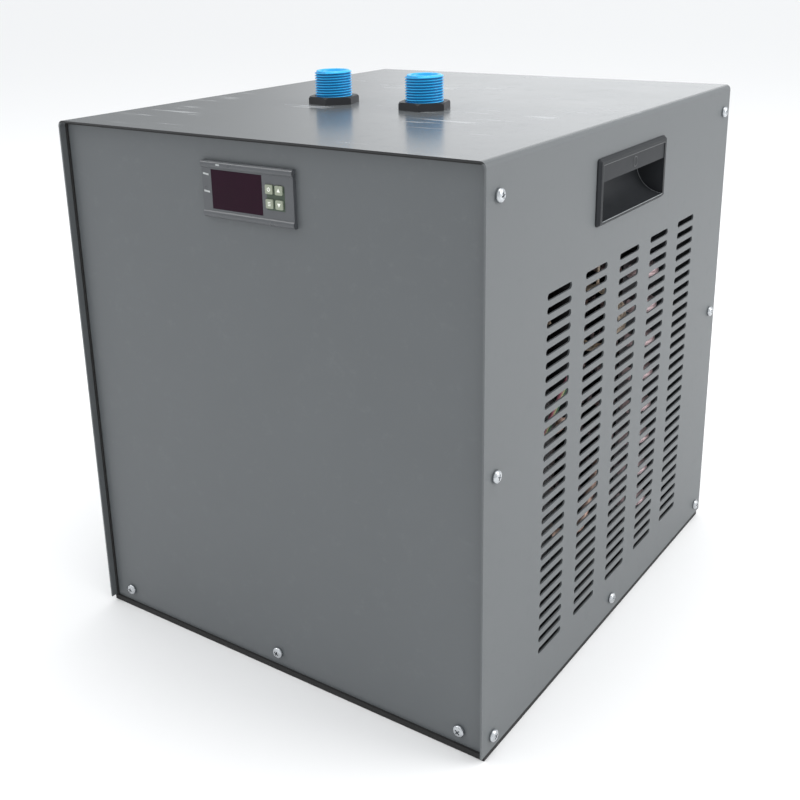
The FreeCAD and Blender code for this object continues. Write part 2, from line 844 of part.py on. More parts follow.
def rubber_feet():
    """Four push-in feet: a disc on the floor, a stem through the tray and a cap on it."""
    feet = []
    for index, (place_x, place_y) in enumerate(foot_places):
        stub = f"foot_{index + 1}"
        pieces = (
            taper(stub + "_pad", foot_radius - foot_flare, foot_radius, foot_height, (place_x, place_y, 0.0)),
            rod(stub + "_stem", foot_stem, tray_gauge + 1.0, (place_x, place_y, foot_height - 0.5)),
            taper(stub + "_cap", foot_cap, foot_stem, foot_cap_height, (place_x, place_y, tray_top)),
        )
        feet.append(fuse(stub, pieces))
    return node(group("rubber_feet", feet), "rubber_feet")


def screw(name, at, turn):
    """A pan head screw whose head seats at a point and whose shank goes on inwards."""
    inward = turn.multVec(Vector(0, 0, 1))
    axis = "xyz"[[abs(part) > 0.5 for part in inward].index(True)]
    sign = 1 if inward[("xyz").index(axis)] > 0 else -1

    def along(distance):
        moved = list(at)
        moved["xyz".index(axis)] = at["xyz".index(axis)] + distance * sign
        return moved

    rim = rod(name + "_rim", screw_head, screw_rim, along(-screw_rim), turn)
    crown = taper(name + "_crown", screw_crown, screw_head, screw_head_height - screw_rim,
                  along(-screw_head_height), turn)
    shank = rod(name + "_shank", screw_shank, screw_reach, along(0.0 - screw_rim / 2), turn)
    return fuse(name, (rim, crown, shank))


def cabinet_screws():
    """The screws that hold cover, panels and tray together."""
    screws = []
    for index, (place_y, place_z) in enumerate(side_screw_places() + [tray_screw_place]):
        screws.append(screw(f"right_screw_{index + 1}", (half_width, place_y, place_z), LEFT))
        screws.append(screw(f"left_screw_{index + 1}", (-half_width, place_y, place_z), RIGHT))
    for index, (place_x, place_z) in enumerate(face_screw_places):
        screws.append(screw(f"front_screw_{index + 1}", (place_x, -face_y, place_z), REAR))
        screws.append(screw(f"rear_screw_{index + 1}", (place_x, face_y, place_z), FRONT))
    return node(group("cabinet_screws", screws), "cabinet_screws")


def carrying_handle(name, side):
    """A moulded recessed grip: a rounded frame on the wall and a scooped pocket behind it."""
    middle = cover_bottom + handle_middle
    frame = body(name + "_frame")
    outline = sketch(frame, name + "_frame_outline", "YZ_Plane", half_width)
    rounded_rectangle(outline, (-handle_length / 2, middle - handle_tall / 2),
                      (handle_length / 2, middle + handle_tall / 2), handle_corner)
    pad(frame, outline, handle_proud)
    rim = number(half_width + handle_proud)
    bevel_edges(frame, name + "_frame_edge", handle_edge,
                lambda edge: all(near(vertex.Point.x, rim) for vertex in edge.Vertexes))
    mouth = half_width + handle_proud
    half_grip = grip_length / 2
    sunk = sketch(frame, name + "_frame_sunk", "YZ_Plane", mouth)
    rounded_rectangle(sunk, (-half_grip, middle - grip_low),
                      (half_grip, middle + handle_tall / 2 - handle_border), handle_cut_round)
    pocket(frame, sunk, handle_recess)

    centre_z = middle - grip_low + grip_scoop
    ceiling = middle + grip_ceiling
    deepest = mouth - grip_scoop

    def scoop(stub, skin, reach):
        barrel = rod(stub + "_round", grip_scoop + skin, grip_length + skin * 2,
                     (mouth, -half_grip - skin, centre_z), REAR)
        block = box(stub + "_block",
                    (deepest - skin, -half_grip - skin, middle - grip_low - skin),
                    (reach, half_grip + skin, ceiling + skin))
        return common(stub, (barrel, block))

    shell = scoop(name + "_shell", handle_wall, half_width + handle_proud / 2)
    hollow = scoop(name + "_hollow", 0.0, mouth + 1.0)
    strip = box(name + "_strip", (mouth - handle_strip, -half_grip - 1.0, middle + grip_high),
                (mouth + 2.0, half_grip + 1.0, ceiling + 1.0))
    moulding = cut(name, fuse(name + "_solid", (frame, shell)),
                   (cut(name + "_pocket", hollow, (strip,)),))
    if side < 0:
        moulding.Placement = Placement(Vector(), Rotation(Vector(0, 0, 1), 180))
    return node(moulding, name)


def hexagon(name, across_flats, height, at, first_angle=0.0):
    """A six-sided bar standing on a point."""
    item = doc.addObject("Part::Prism", name)
    item.Polygon = 6
    bind(item, "Circumradius", across_flats / math.sqrt(3))
    bind(item, "Height", height)
    return place(item, at, Rotation(Vector(0, 0, 1), first_angle))


barrel_axis_z = inner_top - barrel_axis_drop
barrel_left = connector_middle - barrel_length / 2
barrel_right = connector_middle + barrel_length / 2
collar_top = inner_top - gasket_thickness
collar_bottom = collar_top - collar_height
boss_top = barrel_axis_z + barrel_radius + foam_thickness - 0.5


def water_connector(name, port_x):
    """A threaded port through the top, with a collar under the sheet and a spigot below."""
    def stage(stub, radius, low, high):
        return rod(f"{name}_{stub}", radius, high - low, (port_x, connector_setback, low))

    top = cover_top + connector_reach
    thread_start = cover_top + nut_height + thread_runout
    outer = (
        stage("spigot", spigot_radius, boss_top - spigot_depth, collar_bottom + 0.5),
        stage("neck", connector_neck, boss_top, collar_bottom + 0.5),
        stage("collar", connector_collar, collar_bottom, collar_top),
        stage("shank", thread_radius - thread_relief, collar_bottom + 0.5, thread_start + 0.5),
        stage("thread", thread_radius, thread_start, top - thread_lead),
        taper(name + "_lead", thread_radius, thread_radius - thread_lead, thread_lead,
              (port_x, connector_setback, top - thread_lead)),
    )
    bore = stage("bore", connector_bore, boss_top - spigot_depth - 1.0, top + 1.0)
    return node(cut(name, fuse(name + "_outer", outer), (bore,)), name)


def lock_nut(name, port_x):
    """A six-sided nut with its upper corners turned off."""
    at = (port_x, connector_setback, cover_top)
    blank = hexagon(name + "_blank", nut_across_flats, nut_height, at, nut_turn)
    turned = taper(name + "_turned", nut_across_flats * 0.5 + nut_height + 1.2,
                   nut_across_flats * 0.5 + 1.2, nut_height, at)
    bore = rod(name + "_bore", thread_radius + thread_clearance, nut_height + 2.0,
               (port_x, connector_setback, cover_top - 1.0))
    return node(cut(name, common(name + "_form", (blank, turned)), (bore,)), name)


def connector_gaskets():
    """Two flat rings between the collars and the top sheet."""
    rings = []
    for name, port_x in connector_places.items():
        disc = rod(f"{name}_gasket_disc", connector_collar, gasket_thickness,
                   (port_x, connector_setback, collar_top))
        hole = rod(f"{name}_gasket_hole", thread_radius + thread_clearance, gasket_thickness + 2.0,
                   (port_x, connector_setback, collar_top - 1.0))
        rings.append(cut(f"{name}_gasket", disc, (hole,)))
    return node(group("connector_gaskets", rings), "connector_gaskets")


def evaporator_barrel():
    """The water vessel: a round barrel with two bosses on top and a rim for its lid."""
    start = (barrel_left, connector_setback, barrel_axis_z)
    shell = rod("barrel_shell", barrel_radius, barrel_length, start, RIGHT)
    rim = rod("barrel_rim", barrel_radius + barrel_rim, barrel_lid,
              (barrel_right - barrel_lid, connector_setback, barrel_axis_z), RIGHT)
    bosses = [rod(f"barrel_{name}_boss", barrel_boss, boss_top - barrel_axis_z,
                  (port_x, connector_setback, barrel_axis_z)) for name, port_x in connector_places.items()]
    room = rod("barrel_room", barrel_radius - barrel_wall, barrel_length - barrel_wall + 1.0,
               (barrel_left + barrel_wall, connector_setback, barrel_axis_z), RIGHT)
    sockets = [rod(f"barrel_{name}_socket", spigot_radius + push_fit, spigot_depth + 1.0,
                   (port_x, connector_setback, boss_top - spigot_depth))
               for name, port_x in connector_places.items()]
    passages = [rod(f"barrel_{name}_passage", connector_bore, boss_top - barrel_axis_z,
                    (port_x, connector_setback, barrel_axis_z)) for name, port_x in connector_places.items()]
    holes = [rod(f"barrel_screw_hole_{index + 1}", lid_screw + screw_clearance, barrel_lid + 2.0, at, RIGHT)
             for index, at in enumerate(lid_screw_places(barrel_right - barrel_lid - 1.0))]
    solid = fuse("barrel_solid", [shell, rim] + bosses)
    return node(cut("evaporator_barrel", solid, [room] + sockets + passages + holes), "evaporator_barrel")


def on_ring(x, ring, angle):
    """A point on a circle about the barrel's axis; the angle is measured from the rear upwards."""
    turn = math.radians(angle)
    return (x, connector_setback + ring * math.cos(turn), barrel_axis_z + ring * math.sin(turn))


def lid_screw_places(x):
    """Where the lid's screws stand, at one distance along the barrel."""
    return [on_ring(x, lid_screw_ring, 360.0 * index / lid_screw_count) for index in range(lid_screw_count)]


def barrel_lid_piece():
    """The round lid at the barrel's right end, with its ring of screws' bosses."""
    disc = rod("lid_disc", barrel_radius + barrel_rim, barrel_lid,
               (barrel_right, connector_setback, barrel_axis_z), RIGHT)
    plug = rod("lid_plug", barrel_radius - barrel_wall - push_fit, barrel_lid,
               (barrel_right - barrel_lid, connector_setback, barrel_axis_z), RIGHT)
    start = barrel_right - barrel_lid - 1.0
    deep = barrel_lid * 2 + 2.0
    holes = [rod("lid_leg_hole", water_tube + push_fit, deep, on_ring(start, water_leg, WATER_LEG_ANGLE), RIGHT),
             rod("lid_turn_hole", water_tube + push_fit, deep, on_ring(start, water_turn, WATER_TURN_ANGLE), RIGHT),
             rod("lid_probe_hole", probe_radius + push_fit, deep, on_ring(start, probe_ring, PROBE_ANGLE), RIGHT)]
    for index, at in enumerate(lid_screw_places(barrel_right - 1.0)):
        holes.append(rod(f"lid_screw_hole_{index + 1}", lid_screw + screw_clearance, deep, at, RIGHT))
    return node(cut("barrel_lid", fuse("lid_solid", (disc, plug)), holes), "barrel_lid")


def lid_screws():
    """Round headed screws that draw the lid on to the barrel's rim."""
    screws = []
    face = barrel_right + barrel_lid
    for index, at in enumerate(lid_screw_places(face)):
        shank_at = (face - barrel_lid * 1.8, at[1], at[2])
        screws.append(fuse(f"lid_screw_{index + 1}", (
            rod(f"lid_screw_{index + 1}_shank", lid_screw, barrel_lid * 1.8 + 0.5, shank_at, RIGHT),
            taper(f"lid_screw_{index + 1}_head", lid_screw_head, lid_screw_head * 0.75, 3.0, at, RIGHT))))
    return node(group("lid_screws", screws), "lid_screws")


def evaporator_coil():
    """The tube in the water: a straight leg to the far end and a helix back to the lid."""
    far = barrel_left + water_start
    near_lid = barrel_right - water_stop
    outside = barrel_right + barrel_lid + water_stub
    points = [on_ring(outside, water_leg, WATER_LEG_ANGLE), on_ring(far, water_leg, WATER_LEG_ANGLE)]
    steps = 10
    count = steps * water_turns + steps // 2
    for index in range(count + 1):
        x = far + (near_lid - far) * (index / count)
        points.append(on_ring(x, water_turn, WATER_LEG_ANGLE + 360.0 * index / steps))
    points.append(on_ring(outside, water_turn, WATER_TURN_ANGLE))
    return node(held("evaporator_coil", tube_along(points, water_tube)), "evaporator_coil")


def temperature_probe():
    """The controller's probe in the water, pushed in through the lid."""
    face = barrel_right + barrel_lid
    stem = rod("probe_stem", probe_radius, probe_reach + barrel_lid, on_ring(face - probe_reach - barrel_lid,
               probe_ring, PROBE_ANGLE), RIGHT)
    head = rod("probe_head", probe_head, 4.0, on_ring(face, probe_ring, PROBE_ANGLE), RIGHT)
    return node(fuse("temperature_probe", (stem, head)), "temperature_probe")


def barrel_insulation():
    """The foam sleeve round the barrel, open where the bosses stand up."""
    inner = barrel_radius + foam_gap
    long = barrel_length - barrel_lid - foam_gap
    sleeve = rod("foam_sleeve", barrel_radius + foam_thickness, long,
                 (barrel_left, connector_setback, barrel_axis_z), RIGHT)
    room = rod("foam_room", inner, long + 2.0,
               (barrel_left - 1.0, connector_setback, barrel_axis_z), RIGHT)
    holes = [rod(f"foam_{name}_hole", barrel_boss + foam_gap, barrel_radius + foam_thickness * 2,
                 (port_x, connector_setback, barrel_axis_z)) for name, port_x in connector_places.items()]
    return node(cut("barrel_insulation", sleeve, [room] + holes), "barrel_insulation")


def barrel_stand():
    """A folded bridge that stands on the tray and carries the barrel's left half."""
    bridge = body("barrel_stand")
    half = barrel_radius - 6.0
    top = barrel_axis_z - barrel_radius - foam_thickness - foam_gap
    under = top - stand_gauge
    outer = half + stand_gauge
    outline = sketch(bridge, "stand_outline", "YZ_Plane")
    centre = connector_setback
    polygon(outline, (
        (centre - outer - stand_foot, tray_top),
        (centre - half, tray_top),
        (centre - half, under),
        (centre + half, under),
        (centre + half, tray_top),
        (centre + outer + stand_foot, tray_top),
        (centre + outer + stand_foot, tray_top + stand_gauge),
        (centre + outer, tray_top + stand_gauge),
        (centre + outer, top),
        (centre - outer, top),
        (centre - outer, tray_top + stand_gauge),
        (centre - outer - stand_foot, tray_top + stand_gauge),
    ))
    pad(bridge, outline, stand_width)
    place(bridge, (barrel_left + stand_setback - stand_width / 2, 0.0, 0.0))
    return node(bridge, "barrel_stand")


compressor_top = barrel_axis_z - barrel_radius - foam_thickness - foam_gap - compressor_headroom


def compressor():
    """A welded steel shell: lower cup, seam, upper cup and a base plate with four ears."""
    bottom = tray_top + grommet_height
    plate_top = bottom + ear_thickness
    seam = cover_bottom + compressor_seam
    case = body("compressor")
    outline = sketch(case, "compressor_outline", "XZ_Plane")
    low_cut = compressor_radius * 0.28
    top_cut = compressor_radius * 0.22
    polygon(outline, (
        (0.0, plate_top - 1.0),
        (compressor_radius - low_cut, plate_top - 1.0),
        (compressor_radius, plate_top + low_cut),
        (compressor_radius, seam),
        (compressor_radius + seam_width, seam),
        (compressor_radius + seam_width, seam + seam_tall),
        (compressor_radius, seam + seam_tall),
        (compressor_radius, compressor_top - top_cut * 2),
        (compressor_radius - top_cut * 0.6, compressor_top - top_cut),
        (compressor_radius - top_cut * 1.9, compressor_top - top_cut * 0.25),
        (compressor_radius * 0.35, compressor_top),
        (0.0, compressor_top),
    ))
    revolve(case, outline)
    ear = ear_spread + grommet_radius
    plate = sketch(case, "compressor_plate", "XY_Plane", bottom)
    rounded_rectangle(plate, (-ear, -ear), (ear, ear), grommet_radius)
    for sign_x in (-1, 1):
        for sign_y in (-1, 1):
            circle(plate, (ear_spread * sign_x, ear_spread * sign_y), grommet_radius * 0.6)
    pad(case, plate, ear_thickness)
    place(case, (compressor_x, compressor_y, 0.0))
    return node(case, "compressor")


def compressor_mounts():
    """Rubber grommets under and through the ears, and the bolts that hold them."""
    grommets = []
    bolts = []
    ear_low = tray_top + grommet_height
    ear_top = ear_low + ear_thickness
    neck = grommet_radius * 0.6 - push_fit
    lip = grommet_radius * 0.3
    for index in range(4):
        at_x = compressor_x + ear_spread * (1 if index % 2 else -1)
        at_y = compressor_y + ear_spread * (1 if index // 2 else -1)
        stub = f"grommet_{index + 1}"
        solid = fuse(stub + "_solid", (
            rod(stub + "_base", grommet_radius, grommet_height, (at_x, at_y, tray_top)),
            rod(stub + "_neck", neck, ear_thickness + 1.0, (at_x, at_y, ear_low - 0.5)),
            taper(stub + "_lip", grommet_radius * 0.8, neck, lip, (at_x, at_y, ear_top)),
        ))
        bore = rod(stub + "_bore", mount_bolt + push_fit, grommet_height * 2,
                   (at_x, at_y, tray_top - 1.0))
        grommets.append(cut(stub, solid, (bore,)))
        bolt = f"mount_bolt_{index + 1}"
        stem = rod(bolt + "_stem", mount_bolt, grommet_height + ear_thickness + lip + 3.0,
                   (at_x, at_y, tray_top))
        head = hexagon(bolt + "_head", mount_bolt * 3.33, mount_bolt * 1.5,
                       (at_x, at_y, ear_top + lip))
        bolts.append(fuse(bolt, (stem, head)))
    node(group("compressor_grommets", grommets), "compressor_grommets")
    node(group("compressor_bolts", bolts), "compressor_bolts")


def compressor_terminal_box():
    """The moulded cover over the compressor's terminals and overload switch."""
    near_x = compressor_x - compressor_radius - foam_gap
    low = cover_bottom + compressor_seam + seam_tall + terminal_lift
    cap = body("compressor_terminal_box")
    outline = sketch(cap, "terminal_box_outline", "YZ_Plane")
    rounded_rectangle(outline, (compressor_y - terminal_wide / 2, low),
                      (compressor_y + terminal_wide / 2, low + terminal_tall), terminal_round)
    pad(cap, outline, terminal_deep)
    place(cap, (near_x - terminal_deep, 0.0, 0.0))
    return node(cap, "compressor_terminal_box")



WATER_LEG_ANGLE = 200.0
WATER_TURN_ANGLE = 20.0
PROBE_ANGLE = 110.0
PROCESS_ANGLE = 45.0
shell_seam_z = cover_bottom + compressor_seam
coil_end_x = core_left - end_plate * 2 - tube_stub
front_row_y = condenser_middle - tube_depth_pitch / 2
rear_row_y = condenser_middle + tube_depth_pitch / 2
first_tube_z = cover_bottom + tube_bottom
last_tube_z = first_tube_z + tube_pitch * (tube_rows - 1)
core_front = condenser_middle - condenser_deep / 2
core_rear = condenser_middle + condenser_deep / 2
core_low = first_tube_z - core_margin
core_high = last_tube_z + core_margin


def tube_along(points, radius):
    """A round tube along straight runs that meet in mitres."""
    path = Part.makePolygon([Vector(*(number(part) for part in point)) for point in points])
    start = path.Vertexes[0].Point
    ahead = path.Vertexes[1].Point - start
    ring = Part.Wire(Part.makeCircle(number(radius), start, ahead))
    return path.makePipeShell([ring], True, False, 1)


def bent_tube(points, radius, bend):
    """A round tube whose straight runs meet in bends of one radius."""
    corners = [Vector(*(number(part) for part in point)) for point in points]
    edges = []
    start = corners[0]
    for before, corner, after in zip(corners, corners[1:], corners[2:]):
        into = (corner - before).normalize()
        out = (after - corner).normalize()
        half_turn = into.getAngle(out) / 2
        back = number(bend) * math.tan(half_turn)
        inward = (out - into).normalize()
        first = corner - into * back
        middle = corner + inward * (number(bend) * (1 / math.cos(half_turn) - 1))
        last = corner + out * back
        edges.append(Part.makeLine(start, first))
        edges.append(Part.Arc(first, middle, last).toShape())
        start = last
    edges.append(Part.makeLine(start, corners[-1]))
    ring = Part.Wire(Part.makeCircle(number(radius), corners[0], corners[1] - corners[0]))
    return Part.Wire(edges).makePipeShell([ring], True, False)


def held(name, shape):
    """A finished tube as an object of the document."""
    item = doc.addObject("Part::Feature", name)
    item.Shape = shape
    item.Placement = Placement()
    return item


def shell_point(angle, distance, z):
    """A point about the compressor's axis; the angle is measured from +X."""
    turn = math.radians(angle)
    return (compressor_x + distance * math.cos(turn), compressor_y + distance * math.sin(turn), z)


def discharge_tube():
    """From the compressor's rear, over to the left and into the coil's upper end."""
    run_x = coil_end_x - coil_end_reach
    run_y = core_front - hot_run_gap
    run_z = last_tube_z - hot_run_drop
    entry_z = shell_seam_z + shell_entry
    points = ((coil_end_x - joint_gap, rear_row_y, last_tube_z),
              (run_x, rear_row_y, last_tube_z),
              (run_x, run_y, last_tube_z),
              (run_x, run_y, run_z),
              (compressor_x, run_y, run_z),
              (compressor_x, run_y, entry_z),
              shell_point(90.0, compressor_radius + joint_gap, entry_z))
    return node(held("discharge_tube", bent_tube(points, hot_tube, hot_bend)), "discharge_tube")


def suction_tube():
    """From the lid down to the compressor's right side."""
    start = on_ring(barrel_right + barrel_lid + water_stub + joint_gap, water_turn, WATER_TURN_ANGLE)
    entry_z = shell_seam_z + shell_entry * 0.8
    aside = number(start[1] - compressor_y)
    angle = math.degrees(math.asin(aside / number(suction_offset)))
    drop_x = compressor_x + suction_offset * math.cos(math.radians(angle))
    points = (start, (drop_x, start[1], start[2]), (drop_x, start[1], entry_z),
              shell_point(angle, compressor_radius + joint_gap, entry_z))
    return node(held("suction_tube", bent_tube(points, water_tube, suction_bend)), "suction_tube")


def liquid_tube():
    """From the coil's lower end forward to the drier."""
    run_x = coil_end_x - coil_end_reach
    points = ((coil_end_x - joint_gap, front_row_y, first_tube_z),
              (run_x, front_row_y, first_tube_z),
              (run_x, core_front - drier_front, first_tube_z),
              (run_x, core_front - drier_front, first_tube_z + drier_low))
    return node(held("liquid_tube", bent_tube(points, hot_tube, hot_bend * 0.8)), "liquid_tube")


def process_tube():
    """The charging tube that stands out from the compressor's lower cup, closed at its end."""
    low = cover_bottom + process_low
    turn_x = compressor_x + process_offset
    turn_y = compressor_y + process_offset
    points = (shell_point(PROCESS_ANGLE, compressor_radius + joint_gap * 2, low),
              (turn_x, turn_y, low + process_lift),
              (turn_x, turn_y + process_run, low + process_lift + process_rise))
    return node(held("process_tube", bent_tube(points, hot_tube, hot_bend)), "process_tube")


def filter_drier():
    """The copper drier that stands on the liquid tube."""
    at_x = coil_end_x - coil_end_reach
    at_y = core_front - drier_front
    low = first_tube_z + drier_low + joint_gap
    pieces = (taper("drier_low_neck", hot_tube + 0.6, drier_radius, drier_neck, (at_x, at_y, low)),
              rod("drier_case", drier_radius, drier_length - drier_neck * 2, (at_x, at_y, low + drier_neck)),
              taper("drier_top_neck", drier_radius, fine_tube + 1.0, drier_neck,
                    (at_x, at_y, low + drier_length - drier_neck)))
    return node(fuse("filter_drier", pieces), "filter_drier")


def capillary_tube():
    """The fine tube from the drier, looped beside the condenser and up to the lid."""
    start_x = coil_end_x - coil_end_reach
    start_y = core_front - drier_front
    start_z = first_tube_z + drier_low + drier_length + joint_gap * 2
    run_y = core_front - fine_run_front
    run_z = core_high
    loop_z = core_high - fine_loop_drop
    points = [(start_x, start_y, start_z), (start_x, start_y, run_z - 6.0), (start_x, run_y, run_z),
              (fine_loop_x, run_y, run_z)]
    steps = 12
    count = steps * fine_turns
    for index in range(count + 1):
        turn = 2 * math.pi * index / steps
        points.append((fine_loop_x + fine_loop * math.sin(turn),
                       run_y - fine_loop_pitch * (index / steps),
                       loop_z + fine_loop * math.cos(turn)))
    lid_end = on_ring(barrel_right + barrel_lid + water_stub + joint_gap, water_leg, WATER_LEG_ANGLE)
    high_z = compressor_top + fine_crossing
    points += [(fine_return_x, points[-1][1], high_z), (fine_return_x, lid_end[1], high_z + fine_rise),
               (fine_return_x, lid_end[1], lid_end[2]), lid_end]
    return node(held("capillary_tube", tube_along(points, fine_tube)), "capillary_tube")


def return_bend(x, way, first_row, second_row):
    """The runs of one return bend outside an end plate, four mitred lengths round a half turn."""
    half = 0.5 * math.hypot(second_row[0] - first_row[0], second_row[1] - first_row[1])
    centre = ((first_row[0] + second_row[0]) / 2, (first_row[1] + second_row[1]) / 2)
    across = ((first_row[0] - centre[0]) / half, (first_row[1] - centre[1]) / half)
    steps = 4
    points = []
    for index in range(steps + 1):
        angle = math.pi * index / steps
        side = math.cos(angle) * half
        points.append((x + way * math.sin(angle) * half,
                       centre[0] + across[0] * side,
                       centre[1] + across[1] * side))
    return points


def condenser_coil():
    """One copper tube that runs to and fro through the fins, two deep and eight high."""
    left = number(core_left - end_plate * 2)
    right = number(core_right + end_plate * 2)
    front = number(front_row_y)
    rear = number(rear_row_y)
    points = []
    for row in range(tube_rows):
        height = number(first_tube_z) + number(tube_pitch) * row
        after = height + number(tube_pitch)
        if row == 0:
            points.append((left - number(tube_stub), front, height))
        points += return_bend(right, 1, (front, height), (rear, height))
        if row < tube_rows - 1:
            points += return_bend(left, -1, (rear, height), (front, after))
        else:
            points.append((left - number(tube_stub), rear, height))
    return node(held("condenser_coil", tube_along(points, tube_radius)), "condenser_coil")


def condenser_fins():
    """Thin plates stacked along the tubes."""
    fins = []
    count = int((number(core_right) - number(core_left)) / number(fin_pitch))
    step = (core_right - core_left - fin_gauge) / (count - 1)
    for index in range(count):
        low = core_left + step * index
        fins.append(box(f"fin_{index + 1}", (low, core_front, core_low),
                        (low + fin_gauge, core_rear, core_high)))
    return node(group("condenser_fins", fins), "condenser_fins")


def condenser_end_plates():
    """The two plates that carry the coil, folded outwards into feet at the tray."""
    plates = []
    for name, face, way in (("left", core_left, -1), ("right", core_right, 1)):
        near_x, far_x = (face - end_plate, face) if way < 0 else (face, face + end_plate)
        wall = box(f"{name}_plate_wall", (near_x, core_front, tray_top), (far_x, core_rear, core_high))
        foot_a, foot_b = (face - end_foot, face) if way < 0 else (face, face + end_foot)
        foot = box(f"{name}_plate_foot", (foot_a, core_front, tray_top),
                   (foot_b, core_rear, tray_top + end_plate))
        plates.append(fuse(f"{name}_end_plate", (wall, foot)))
    return node(group("condenser_end_plates", plates), "condenser_end_plates")


def fan_shroud():
    """The plate behind the condenser with a round collar about the fan."""
    plate_rear = core_rear + shroud_gauge
    collar_radius = fan_radius + fan_tip_gap
    plate = box("shroud_plate", (core_left - end_plate, core_rear, core_low - shroud_drop),
                (core_right + end_plate, plate_rear, core_high))
    collar = rod("shroud_collar", collar_radius + shroud_gauge, collar_deep,
                 (fan_x, core_rear, fan_z), REAR)
    mouth = rod("shroud_mouth", collar_radius, collar_deep + 4.0, (fan_x, core_rear - 2.0, fan_z), REAR)
    return node(cut("fan_shroud", fuse("shroud_solid", (plate, collar)), (mouth,)), "fan_shroud")


hub_front_y = core_rear + 6.0
hub_rear_y = hub_front_y + hub_deep
motor_front_y = hub_rear_y + motor_gap


def fan_impeller():
    """A moulded axial impeller: a hub cup and five twisted blades."""
    rotor = body("fan_impeller")
    cup = sketch(rotor, "hub_outline", "XZ_Plane")
    circle(cup, (0.0, 0.0), hub_radius)
    circle(cup, (0.0, 0.0), shaft_radius + running_clearance)
    pad(rotor, cup, hub_deep, symmetric=True)
    room = sketch(rotor, "hub_room", "XZ_Plane", -hub_deep / 2)
    circle(room, (0.0, 0.0), hub_radius - hub_wall)
    circle(room, (0.0, 0.0), shaft_radius + hub_wall * 2)
    pocket(rotor, room, hub_deep - hub_wall * 2, reverse=True)

    def section(name, chord, angle, height):
        profile = sketch(rotor, name, "XY_Plane", height)
        turn = math.radians(angle)
        along = (math.cos(turn), math.sin(turn))
        aside = (-math.sin(turn), math.cos(turn))
        corners = []
        for end, face in ((-1, -1), (1, -1), (1, 1), (-1, 1)):
            corners.append(tuple(chord * (0.5 * end * along[axis])
                                 + blade_thickness * (0.5 * face * aside[axis]) for axis in range(2)))
        polygon(profile, corners)
        return profile

    root = section("blade_root", blade_root, 38.0, hub_radius * 0.9)
    tip = section("blade_tip", blade_tip, 19.0, fan_radius)
    blade = rotor.newObject("PartDesign::AdditiveLoft", "blade")
    blade.Profile = root
    blade.Sections = [tip]
    blade.Ruled = True
    blades = rotor.newObject("PartDesign::PolarPattern", "blades")
    blades.Originals = [blade]
    blades.Axis = (cup, ["N_Axis"])
    blades.Angle = 360
    blades.Occurrences = blade_count
    rotor.Tip = blades
    place(rotor, (fan_x, hub_front_y + hub_deep / 2, fan_z))
    return node(rotor, "fan_impeller")


def fan_shaft():
    """The steel shaft that the motor turns."""
    start = hub_front_y + hub_wall
    return node(rod("fan_shaft", shaft_radius, motor_front_y + motor_deep * 0.5 - start,
                    (fan_x, start, fan_z), REAR), "fan_shaft")


def fan_motor():
    """The closed motor behind the impeller, with a bearing nose and a finned rear cap."""
    case = rod("motor_case", motor_radius, motor_deep * 0.72, (fan_x, motor_front_y, fan_z), REAR)
    cap = taper("motor_cap", motor_radius, motor_radius * 0.8, motor_deep * 0.28,
                (fan_x, motor_front_y + motor_deep * 0.72, fan_z), REAR)
    nose = rod("motor_nose", motor_radius * 0.3, motor_gap * 0.5 + 1.0,
               (fan_x, motor_front_y - motor_gap * 0.5, fan_z), REAR)
    bore = rod("motor_bore", shaft_radius + running_clearance, motor_deep * 0.55 + motor_gap,
               (fan_x, motor_front_y - motor_gap, fan_z), REAR)
    return node(cut("fan_motor", fuse("motor_solid", (case, cap, nose)), (bore,)), "fan_motor")


def motor_bracket():
    """A ring round the motor with three arms to the shroud's collar."""
    ring_low = motor_front_y + motor_deep * 0.2
    ring_deep = bracket_deep
    outer = motor_radius + bracket_gauge
    ring = rod("bracket_ring", outer, ring_deep, (fan_x, ring_low, fan_z), REAR)
    reach = fan_radius + fan_tip_gap
    arms = []
    for index in range(3):
        angle = 90.0 + 120.0 * index
        arm = doc.addObject("Part::Box", f"bracket_arm_{index + 1}")
        bind(arm, "Length", reach + bracket_gauge * 2)
        bind(arm, "Width", bracket_gauge * 1.5)
        bind(arm, "Height", bracket_wide)
        turn = Rotation(Vector(0, 1, 0), -angle)
        shift = turn.multVec(Vector(0, 0, -number(bracket_wide) / 2))
        place(arm, (fan_x + shift.x, ring_low, fan_z + shift.z), turn)
        leg = doc.addObject("Part::Box", f"bracket_leg_{index + 1}")
        leg_deep = ring_low + bracket_gauge * 1.5 - (core_rear + shroud_gauge)
        bind(leg, "Length", bracket_gauge * 1.5)
        bind(leg, "Width", leg_deep)
        bind(leg, "Height", bracket_wide)
        away = number(reach + shroud_gauge) + number(sheet_gap)
        shift = turn.multVec(Vector(away, 0, -number(bracket_wide) / 2))
        place(leg, (fan_x + shift.x, core_rear + shroud_gauge, fan_z + shift.z), turn)
        arms += [arm, leg]
    hole = rod("bracket_hole", motor_radius + push_fit, ring_deep * 4,
               (fan_x, ring_low - ring_deep, fan_z), REAR)
    return node(cut("motor_bracket", fuse("bracket_solid", [ring] + arms), (hole,)), "motor_bracket")




def cord_bushing():
    """The nylon bushing of the cord inlet, snapped into the rear panel."""
    flange = rod("bushing_flange", gland_flange, gland_proud, (-gland_x, face_y, gland_z), REAR)
    stem_deep = panel_gauge + gland_stem
    stem = rod("bushing_stem", gland_radius, stem_deep, (-gland_x, face_y - stem_deep, gland_z), REAR)
    bore = rod("bushing_bore", gland_bore, stem_deep + gland_proud + 2.0,
               (-gland_x, face_y - stem_deep - 1.0, gland_z), REAR)
    return node(cut("cord_bushing", fuse("bushing_solid", (flange, stem)), (bore,)), "cord_bushing")


